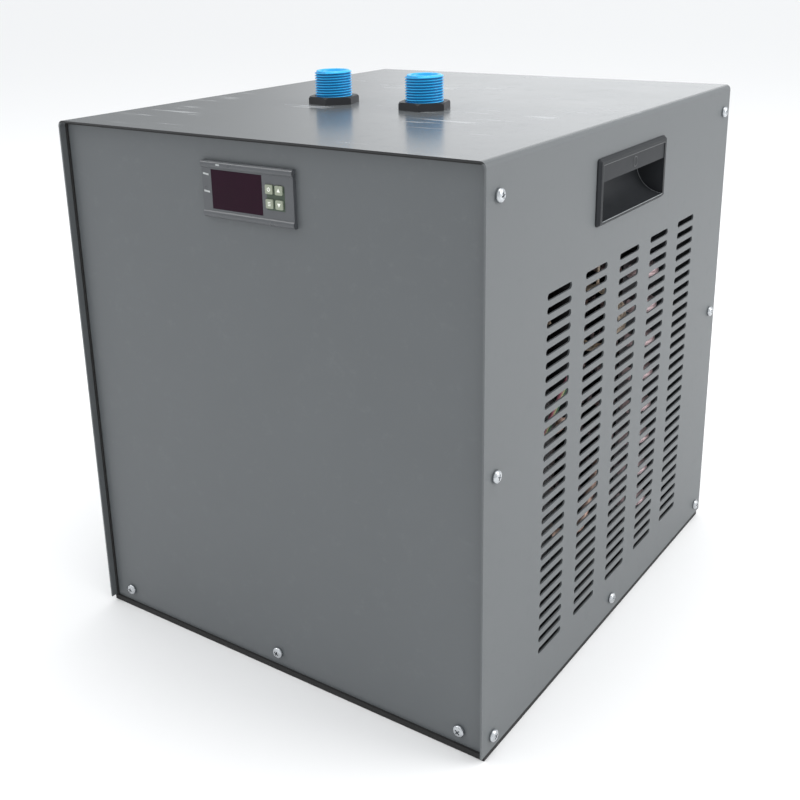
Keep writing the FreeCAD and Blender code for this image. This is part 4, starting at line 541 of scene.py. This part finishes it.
def slot_outline(centre_x, centre_z):
    """A level slot with round ends."""
    half = (SLOT_LONG - SLOT_TALL) / 2
    points = []
    for side, first in ((1, -90.0), (-1, 90.0)):
        for step in range(SLOT_STEPS + 1):
            angle = math.radians(first + 180.0 * step / SLOT_STEPS)
            points.append((centre_x + side * half + SLOT_TALL / 2 * math.cos(angle),
                           centre_z + SLOT_TALL / 2 * math.sin(angle)))
    return points


def plate_of(form, points, low_y, high_y):
    """A thin flat plate with an outline in the XZ plane."""
    verts = [form.verts.new((x, high_y, z)) for x, z in points]
    face = form.faces.new(verts)
    made = bmesh.ops.extrude_face_region(form, geom=[face])["geom"]
    moved = [part for part in made if isinstance(part, bmesh.types.BMVert)]
    bmesh.ops.translate(form, vec=(0, low_y - high_y, 0), verts=moved)


def slotted_rear():
    """The rear sheet with a field of slots behind the fan, so that the condenser's air gets out."""
    sheet = bmesh.new()
    sheet.from_mesh(frame["nodes"]["rear_panel"].data)
    bmesh.ops.remove_doubles(sheet, verts=sheet.verts, dist=MERGE)
    shaft_low, shaft_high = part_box("fan_shaft")
    centre_x, centre_z = (shaft_low.x + shaft_high.x) / 2, (shaft_low.z + shaft_high.z) / 2
    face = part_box("rear_panel")[1].y
    cutters = bmesh.new()
    for column in range(REAR_COLUMNS):
        x = centre_x + REAR_COLUMN_PITCH * (column - (REAR_COLUMNS - 1) / 2)
        for row in range(REAR_ROWS):
            z = centre_z + REAR_ROW_PITCH * (row - (REAR_ROWS - 1) / 2)
            plate_of(cutters, slot_outline(x, z), face - CUT_INSIDE, face + CUT_OUTSIDE)
    form = bmesh.new()
    form.from_mesh(shaped(sheet, cutters))
    piece("rear_panel_slotted", form, panel_paint, ("rear_panel",), crease=1.0)


slotted_rear()


# Water connectors

THREAD_PITCH = 1.85 * MM
THREAD_CREST = 13.25 * MM
THREAD_ROOT = 12.0 * MM
PORT_BORE = 9.5 * MM
SHADED_GROOVE_EDGE = 12.6 * MM
CREST_SOFT = 0.15 * MM
THREAD_BELOW = 1.2 * MM
THREAD_END = 0.9 * MM
THREAD_MERGE = 0.002 * MM
RIM_SOFT = 0.5 * MM
COLLAR_DROP = 2.7 * MM
COLLAR_THICK = 5.0 * MM
NECK_RADIUS = 15.0 * MM
SPIGOT_RADIUS = 14.0 * MM
SPIGOT_LONG = 11.0 * MM
TURN_STEPS = 56


def threaded_port(name):
    """A port whose thread is one ridge wound up round it, with collar, neck and spigot below."""
    low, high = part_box(name)
    middle = (low + high) / 2
    collar_radius = (high.x - low.x) / 2
    thread_low = TOP_Z - THREAD_BELOW
    thread_high = high.z - THREAD_END
    form = bmesh.new()
    start = thread_low - THREAD_PITCH
    tooth = ((THREAD_ROOT, 0.0), (THREAD_ROOT, 0.18), (THREAD_CREST - CREST_SOFT, 0.40),
             (THREAD_CREST, 0.48), (THREAD_CREST, 0.70), (THREAD_CREST - CREST_SOFT, 0.78),
             (THREAD_ROOT, 1.0))
    line = chain(form, [Vector((radius, 0.0, start + THREAD_PITCH * share))
                        for radius, share in tooth])
    turns = math.ceil((thread_high - start) / THREAD_PITCH) + 1
    bmesh.ops.spin(form, geom=line, cent=(0, 0, 0), axis=Z_AXIS, angle=2 * math.pi * turns,
                   dvec=(0, 0, THREAD_PITCH / TURN_STEPS), steps=TURN_STEPS * turns, use_merge=False)
    bmesh.ops.remove_doubles(form, verts=form.verts, dist=THREAD_MERGE)
    for height, way in ((thread_low, -1), (thread_high, 1)):
        everything = form.verts[:] + form.edges[:] + form.faces[:]
        bmesh.ops.bisect_plane(form, geom=everything, plane_co=(0, 0, height),
                               plane_no=(0, 0, way), clear_outer=True)

    def rim(height):
        return [edge for edge in form.edges if edge.is_boundary
                and all(abs(vert.co.z - height) < TOUCH for vert in edge.verts)]

    def stretch(edges, stops):
        for radius, height in stops:
            made = bmesh.ops.extrude_edge_only(form, edges=edges)["geom"]
            verts = [part for part in made if isinstance(part, bmesh.types.BMVert)]
            edges = [part for part in made if isinstance(part, bmesh.types.BMEdge)
                     and all(vert in verts for vert in part.verts)]
            for vert in verts:
                flat = Vector((vert.co.x, vert.co.y, 0)).normalized() * radius
                vert.co = (flat.x, flat.y, height)
        return edges

    upper = stretch(rim(thread_high), (
        (THREAD_ROOT - 0.1 * MM, high.z - 0.3 * MM),
        (THREAD_ROOT - RIM_SOFT, high.z),
        (PORT_BORE + RIM_SOFT, high.z),
        (PORT_BORE, high.z - RIM_SOFT),
        (PORT_BORE, low.z),
    ))
    collar_top = TOP_Z - COLLAR_DROP
    lower = stretch(rim(thread_low), (
        (THREAD_ROOT, collar_top),
        (collar_radius, collar_top),
        (collar_radius, collar_top - COLLAR_THICK),
        (NECK_RADIUS, collar_top - COLLAR_THICK),
        (NECK_RADIUS, low.z + SPIGOT_LONG),
        (SPIGOT_RADIUS, low.z + SPIGOT_LONG),
        (SPIGOT_RADIUS, low.z),
    ))
    bmesh.ops.bridge_loops(form, edges=upper + lower)
    # Painted shade: faces in the thread's grooves take a darker blue.
    for face in form.faces:
        centre = face.calc_center_median()
        away = math.hypot(centre.x, centre.y)
        if thread_low < centre.z < thread_high and PORT_BORE + RIM_SOFT < away < SHADED_GROOVE_EDGE:
            face.material_index = 1
    bmesh.ops.translate(form, vec=(middle.x, middle.y, 0), verts=form.verts)
    item = piece(name + "_threaded", form, blue_plastic, (name,), crease=50.0)
    item.data.materials.append(groove_shade_blue)


for port in ("outlet_connector", "inlet_connector"):
    threaded_port(port)


# Refrigerant tubes that show through the slots

COIL_RADIUS = 4.75 * MM
COIL_ROWS = 8
COIL_TAIL = 14.0 * MM
END_PLATE = 2.4 * MM
BEND_EASE = 0.999


def condenser_tube():
    """The coil to and fro through the fins with round return bends."""
    low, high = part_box("condenser_coil")
    fins_low, fins_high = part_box("condenser_fins")
    front, rear = low.y + COIL_RADIUS, high.y - COIL_RADIUS
    bottom, top = low.z + COIL_RADIUS, high.z - COIL_RADIUS
    pitch = (top - bottom) / (COIL_ROWS - 1)
    right_bend = (rear - front) / 2
    left_bend = math.hypot(rear - front, pitch) / 2
    coil_end = fins_low.x - END_PLATE - COIL_TAIL
    corners = [(coil_end, front, bottom)]
    for row in range(COIL_ROWS):
        height = bottom + pitch * row
        far = fins_high.x + END_PLATE + right_bend
        corners += [(far, front, height), (far, rear, height)]
        if row < COIL_ROWS - 1:
            near = fins_low.x - END_PLATE - left_bend
            corners += [(near, rear, height), (near, front, height + pitch)]
    corners.append((coil_end, rear, top))
    piece("condenser_tube", pipe(corners, COIL_RADIUS, right_bend * BEND_EASE), coil_copper,
          ("condenser_coil",), crease=60.0)


condenser_tube()


# Suction line's sleeve and the supply wires

SUCTION_RADIUS = 4.0 * MM
SLEEVE_WALL = 5.0 * MM
SLEEVE_FIT = 0.1 * MM
SLEEVE_SHORT = 16.0 * MM
SLEEVE_SOFT = 1.5 * MM


def sleeve():
    """A foam sleeve with rounded ends round the straight part of the suction tube."""
    low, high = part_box("suction_tube")
    form = bmesh.new()
    bottom, top = low.z + SLEEVE_SHORT, high.z - SLEEVE_SHORT
    inner, outer = SUCTION_RADIUS + SLEEVE_FIT, SUCTION_RADIUS + SLEEVE_WALL
    soft, softer = SLEEVE_SOFT, SLEEVE_SOFT * 0.3
    turned(form, [(inner, bottom), (outer - soft, bottom), (outer - softer, bottom + softer),
                  (outer, bottom + soft), (outer, top - soft), (outer - softer, top - softer),
                  (outer - soft, top), (inner, top), (inner, bottom)], 28)
    bmesh.ops.translate(form, vec=(high.x - SUCTION_RADIUS, high.y - SUCTION_RADIUS, 0),
                        verts=form.verts)
    piece("suction_sleeve", form, foam_sleeve)


sleeve()

WIRE_RADIUS = 1.1 * MM
WIRE_STEP = 2.4 * MM
WIRE_CLEAR = 2.5 * MM
WIRE_BEND = 6.0 * MM
WIRE_Y = -36.0 * MM
WIRE_TURN_Z = 202.5 * MM
LID_PASS = 110.0 * MM
TERMINAL_INSET = 5.0 * MM
TERMINAL_TAIL = 11.0 * MM
GRIP_CLEAR = 9.0 * MM
SLANT_Y, SLANT_Z = 46.0 * MM, 39.0 * MM
LOW_Y, LOW_Z = 76.0 * MM, 78.0 * MM
FOOT_Y, FOOT_Z = 84.0 * MM, 3.0 * MM
WIRES = (("green_wire", green_wire), ("yellow_wire", yellow_wire), ("red_wire", red_wire))


def supply_wires():
    """Three wires from the controller's terminals, down inside the right wall to the tray."""
    terminals_low, terminals_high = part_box("controller_terminals")
    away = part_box("compressor")[1].x + WIRE_CLEAR
    tray_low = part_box("base_tray")[0]
    grip_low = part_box("right_handle")[0]
    for index, (name, finish) in enumerate(WIRES):
        aside = WIRE_STEP * index
        start_x = terminals_high.x - TERMINAL_INSET - aside
        start_z = (terminals_low.z + terminals_high.z) / 2
        rear = terminals_high.y + TERMINAL_TAIL + aside * 0.5
        drop_y, turn_z = WIRE_Y - aside * 0.65, WIRE_TURN_Z + aside * 0.75
        corners = [(start_x, terminals_high.y - MM, start_z), (start_x, rear, start_z),
                   (LID_PASS, rear, start_z), (away, drop_y, grip_low.z - GRIP_CLEAR),
                   (away, drop_y, turn_z), (away, drop_y - SLANT_Y, turn_z - SLANT_Z),
                   (away, WIRE_Y - LOW_Y - aside, WIRE_TURN_Z - LOW_Z),
                   (away, WIRE_Y - FOOT_Y - aside, tray_low.z + FOOT_Z)]
        piece(name, pipe(corners, WIRE_RADIUS, WIRE_BEND, 10), finish,
              crease=60.0)


supply_wires()


# Black strips in the corner between the cover's lip and the end panels, as painted shade

SHADE_STRIP_DEEP = 1.2 * MM
SHADE_STRIP_WIDE = 1.6 * MM


def corner_shade_strips():
    """Black strips under the top sheet's lip and down both side lips, at the front and at the rear,
    as painted shade in those corners.
    """
    for name, node, way in (("front_shade_strip", "front_panel", -1), ("rear_shade_strip", "rear_panel", 1)):
        low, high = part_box(node)
        face = high.y if way > 0 else low.y
        depth = sorted((face, face + way * SHADE_STRIP_DEEP))
        form = bmesh.new()
        block(form, (low.x, depth[0], high.z - SHADE_STRIP_WIDE), (high.x, depth[1], high.z))
        for near, far in ((low.x, low.x + SHADE_STRIP_WIDE), (high.x - SHADE_STRIP_WIDE, high.x)):
            block(form, (near, depth[0], low.z), (far, depth[1], high.z - SHADE_STRIP_WIDE))
        piece(name, form, gasket_rubber)


corner_shade_strips()


# Black strip under the tray, painted shadow in the gap to the floor

STRIP_INSET = 0.4 * MM
STRIP_SET_BACK = 4.0 * MM
STRIP_THICK = 4.0 * MM
STRIP_FOOT = 0.3 * MM


def base_shadow_strip():
    """A black strip under the sheets' lower edges that fills the gap to the floor as painted shadow.
    """
    tray_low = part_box("base_tray")[0]
    half_x, half_y = cover_high.x - STRIP_INSET, cover_high.y - STRIP_SET_BACK
    thick = STRIP_THICK / 2
    form = bmesh.new()
    for sign in (-1, 1):
        for centre_x, centre_y, reach_x, reach_y in (
                (0.0, sign * (half_y - thick), half_x, thick),
                (sign * (half_x - thick), 0.0, thick, half_y - STRIP_THICK)):
            block(form, (centre_x - reach_x, centre_y - reach_y, STRIP_FOOT),
                  (centre_x + reach_x, centre_y + reach_y, tray_low.z))
    piece("base_shadow_strip", form, foot_rubber)


base_shadow_strip()


# Handles' edge beads in lighter plastic as painted highlights, and moulded ring

HANDLE_BORDER = 4.0 * MM
HANDLE_SUNK = 0.5 * MM
SCOOP_RADIUS = 20.0 * MM
BEAD_RADIUS = 0.28 * MM
BEAD_SUNK = 0.4
LIP_PROUD = 0.3
STRIP_TALL = 10.75 * MM
GRIP_LOW = 18.4 * MM
RING_RADIUS = 3.2 * MM


def handle_trim(node):
    """Thin beads round the sunk field and on the scoop's cheeks, lighter than the handle as painted
    highlights, and a ring in the strip.
    """
    low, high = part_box(node)
    side = 1 if high.x > 0 else -1
    face = high.x if side > 0 else low.x
    rim_x = face - side * BEAD_RADIUS * BEAD_SUNK
    front, rear = low.y + HANDLE_BORDER, high.y - HANDLE_BORDER
    top = high.z - HANDLE_BORDER
    bottom = (low.z + high.z) / 2 - GRIP_LOW
    middle_y = (front + rear) / 2
    rim = [(rim_x, middle_y, top), (rim_x, front, top), (rim_x, front, bottom), (rim_x, rear, bottom),
           (rim_x, rear, top), (rim_x, middle_y, top)]
    piece(node + "_rim", pipe(rim, BEAD_RADIUS, 1.0 * MM, 8, closed=True), rim_highlight_and_ring,
          crease=60.0)
    lip_bead_x = rim_x + side * BEAD_RADIUS * LIP_PROUD
    lip = [(lip_bead_x, front + MM, bottom), (lip_bead_x, rear - MM, bottom)]
    piece(node + "_lower_lip", pipe(lip, BEAD_RADIUS, MM, 8), lip_highlight_plastic,
          crease=60.0)
    for cheek, y in (("front", front), ("rear", rear)):
        form = bmesh.new()
        upright = Vector((-side, 0, 0)).to_track_quat("Z", "Y").to_matrix().to_4x4()
        bmesh.ops.create_circle(form, cap_ends=True, radius=BEAD_RADIUS, segments=8,
                                matrix=Matrix.Translation((face, y, bottom)) @ upright)
        bead = form.verts[:] + form.edges[:] + form.faces[:]
        bmesh.ops.spin(form, geom=bead, cent=(face, y, bottom + SCOOP_RADIUS), axis=Y_AXIS,
                       angle=math.radians(90.0) * side, steps=18, use_merge=False)
        piece(node + "_" + cheek + "_cheek", form, cheek_highlight_plastic, crease=60.0)
    form = bmesh.new()
    centre = Vector((face - side * HANDLE_SUNK, middle_y, top - STRIP_TALL / 2))
    start = centre + Vector((0, RING_RADIUS, 0))
    bmesh.ops.create_circle(form, cap_ends=False, radius=BEAD_RADIUS, segments=8,
                            matrix=Matrix.Translation(start))
    ring = form.verts[:] + form.edges[:]
    bmesh.ops.spin(form, geom=ring, cent=centre, axis=X_AXIS, angle=2 * math.pi, steps=32,
                   use_merge=True)
    bmesh.ops.remove_doubles(form, verts=form.verts, dist=TOUCH)
    piece(node + "_ring", form, rim_highlight_and_ring, crease=60.0)


handle_trim("right_handle")
handle_trim("left_handle")


# Marks on the controller

PRINT_THICK = 0.08 * MM
SIGN_SIZE = 1.3 * MM
SIGN_STEPS = 20
KEYS = {"power_button": "power", "up_button": "up", "set_button": "set", "down_button": "down"}
KEY_INSET = 1.0 * MM
KEY_SHADE = 0.5 * MM
PRINTED_BARS = (
    ("upper_bar", "display_window", -34.3 * MM, 346.0 * MM, 4.6 * MM, 1.1 * MM, 0.5 * MM),
    ("lower_bar", "display_window", -34.2 * MM, 335.2 * MM, 4.6 * MM, 1.1 * MM, 0.5 * MM),
    ("rail_bar", "controller_housing", -23.2 * MM, 352.7 * MM, 3.0 * MM, 1.0 * MM, 0.0),
)


def key_mark(node, mark):
    """A generic pale sign on a key: a ring with a bar, a triangle or three bars."""
    low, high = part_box(node)
    face = low.y
    centre_x, centre_z = (low.x + high.x) / 2, (low.z + high.z) / 2
    form = bmesh.new()

    def printed(points):
        plate_of(form, [(centre_x + SIGN_SIZE * across, centre_z + SIGN_SIZE * up)
                        for across, up in points], face - PRINT_THICK, face)

    if mark in ("up", "down"):
        way = 1 if mark == "up" else -1
        printed([(-1, -0.75 * way), (1, -0.75 * way), (0, way)])
    elif mark == "power":
        outline = []
        for radius, order in ((0.95, 1), (0.6, -1)):
            angles = [math.radians(130 + 280 * index / SIGN_STEPS) for index in range(SIGN_STEPS + 1)]
            outline += [(radius * math.cos(angle), radius * math.sin(angle))
                        for angle in angles[::order]]
        printed(outline)
        printed([(-0.17, 0), (0.17, 0), (0.17, 1.15), (-0.17, 1.15)])
    else:
        for height in (-0.75, 0.0, 0.75):
            printed([(-0.8, height - 0.16), (0.8, height - 0.16), (0.8, height + 0.16),
                     (-0.8, height + 0.16)])
    piece(node + "_mark", form, ivory_print, body=node)


for key, sign in KEYS.items():
    key_mark(key, sign)


def printed_bars():
    """Generic white bars beside the window and a small one on the upper rail."""
    for name, node, x, z, wide, tall, lean in PRINTED_BARS:
        form = bmesh.new()
        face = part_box(node)[0].y
        plate_of(form, [(x - wide / 2, z - tall / 2 + lean), (x + wide / 2, z - tall / 2),
                        (x + wide / 2, z + tall / 2), (x - wide / 2, z + tall / 2 + lean)],
                 face - PRINT_THICK, face)
        piece(name, form, white_print)


printed_bars()


def keypad():
    """The dark green sheet that shows between the keys, a touch proud of the face; past the keys on
    the right and below it is a painted shadow.
    """
    corners = [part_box(node) for node in KEYS]
    left, right = min(low.x for low, high in corners), max(high.x for low, high in corners)
    bottom, top = min(low.z for low, high in corners), max(high.z for low, high in corners)
    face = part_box("display_window")[0].y
    form = bmesh.new()
    plate_of(form, [(left + KEY_INSET, bottom - KEY_SHADE), (right + KEY_SHADE, bottom - KEY_SHADE),
                    (right + KEY_SHADE, top - KEY_INSET), (left + KEY_INSET, top - KEY_INSET)],
             face - PRINT_THICK, face)
    piece("keypad_sheet", form, keypad_green)


keypad()


# Floor, light and camera

FLOOR_SIZE = 40.0
MIDDLE = (0.0, 0.0, 0.18)
SKY_STRENGTH = 1.0
SKY_SIDES = ((103.0, 0.86, 0.55), (142.0, 0.93, -0.72))
SKY_COLOUR = (0.97, 0.985, 1.0, 1.0)


def floor():
    """A plain pale floor."""
    form = bmesh.new()
    bmesh.ops.create_grid(form, x_segments=1, y_segments=1, size=FLOOR_SIZE)
    mesh = bpy.data.meshes.new("floor")
    form.to_mesh(mesh)
    form.free()
    item = bpy.data.objects.new("floor", mesh)
    bpy.context.collection.objects.link(item)
    pale = Paint("pale_floor", base_color=(0.92, 0.92, 0.92), roughness=0.8)
    mesh.materials.append(pale.material)


def softbox(name, at, size, power):
    """A large square lamp that looks at the cabinet's middle."""
    lamp = bpy.data.lights.new(name, "AREA")
    lamp.shape = "SQUARE"
    lamp.size = size
    lamp.energy = power
    item = bpy.data.objects.new(name, lamp)
    bpy.context.collection.objects.link(item)
    item.location = at
    item.rotation_mode = "QUATERNION"
    item.rotation_quaternion = (Vector(at) - Vector(MIDDLE)).to_track_quat("Z", "Y")


floor()
softbox("overhead_lamp", (0.4, 0.1, 2.2), 1.5, 14.0)
softbox("left_lamp", (-1.35, -0.95, 1.85), 0.7, 10.0)
softbox("right_lamp", (1.9, 0.8, 1.1), 1.4, 21.0)

world = bpy.data.worlds.new("studio")
bpy.context.scene.world = world
world.use_nodes = True


def studio_sky():
    """Even white light, brighter behind on the right and dimmer behind on the left."""
    nodes, links = world.node_tree.nodes, world.node_tree.links
    way = nodes.new("ShaderNodeTexCoord")
    strength = None
    for side, start, change in SKY_SIDES:
        facing = nodes.new("ShaderNodeVectorMath")
        facing.operation = "DOT_PRODUCT"
        links.new(way.outputs["Generated"], facing.inputs[0])
        angle = math.radians(side)
        facing.inputs[1].default_value = (math.cos(angle), math.sin(angle), 0.0)
        fade = nodes.new("ShaderNodeMapRange")
        fade.interpolation_type = "SMOOTHSTEP"
        links.new(facing.outputs["Value"], fade.inputs["Value"])
        fade.inputs["From Min"].default_value = start
        fade.inputs["From Max"].default_value = 1.0
        fade.inputs["To Max"].default_value = change
        total = nodes.new("ShaderNodeMath")
        total.operation = "ADD"
        total.inputs[1].default_value = SKY_STRENGTH
        if strength is not None:
            links.new(strength, total.inputs[1])
        links.new(fade.outputs["Result"], total.inputs[0])
        strength = total.outputs["Value"]
    links.new(strength, nodes["Background"].inputs["Strength"])
    nodes["Background"].inputs["Color"].default_value = SKY_COLOUR


studio_sky()

CAMERA_AT = (0.4358, -0.6657, 0.4694)
CAMERA_AZIMUTH = 35.375
CAMERA_ELEVATION = 18.071
CAMERA_ROLL = -1.292
PICTURE = 800.0
FOCAL_PIXELS = 1087.246
AXIS_PIXEL = (381.712, 313.655)

lens = bpy.data.cameras.new("photo_camera")
lens.sensor_width = 36.0
lens.lens = FOCAL_PIXELS * lens.sensor_width / PICTURE
lens.shift_x = (PICTURE / 2 - AXIS_PIXEL[0]) / PICTURE
lens.shift_y = (AXIS_PIXEL[1] - PICTURE / 2) / PICTURE
lens.clip_start = 0.01
lens.clip_end = 50.0
camera = bpy.data.objects.new("photo_camera", lens)
bpy.context.collection.objects.link(camera)
camera.matrix_world = (Matrix.Translation(CAMERA_AT)
                       @ Matrix.Rotation(math.radians(CAMERA_AZIMUTH), 4, "Z")
                       @ Matrix.Rotation(math.radians(90.0 - CAMERA_ELEVATION), 4, "X")
                       @ Matrix.Rotation(math.radians(CAMERA_ROLL), 4, "Z"))
bpy.context.scene.camera = camera
bpy.context.scene.view_settings.view_transform = "Standard"
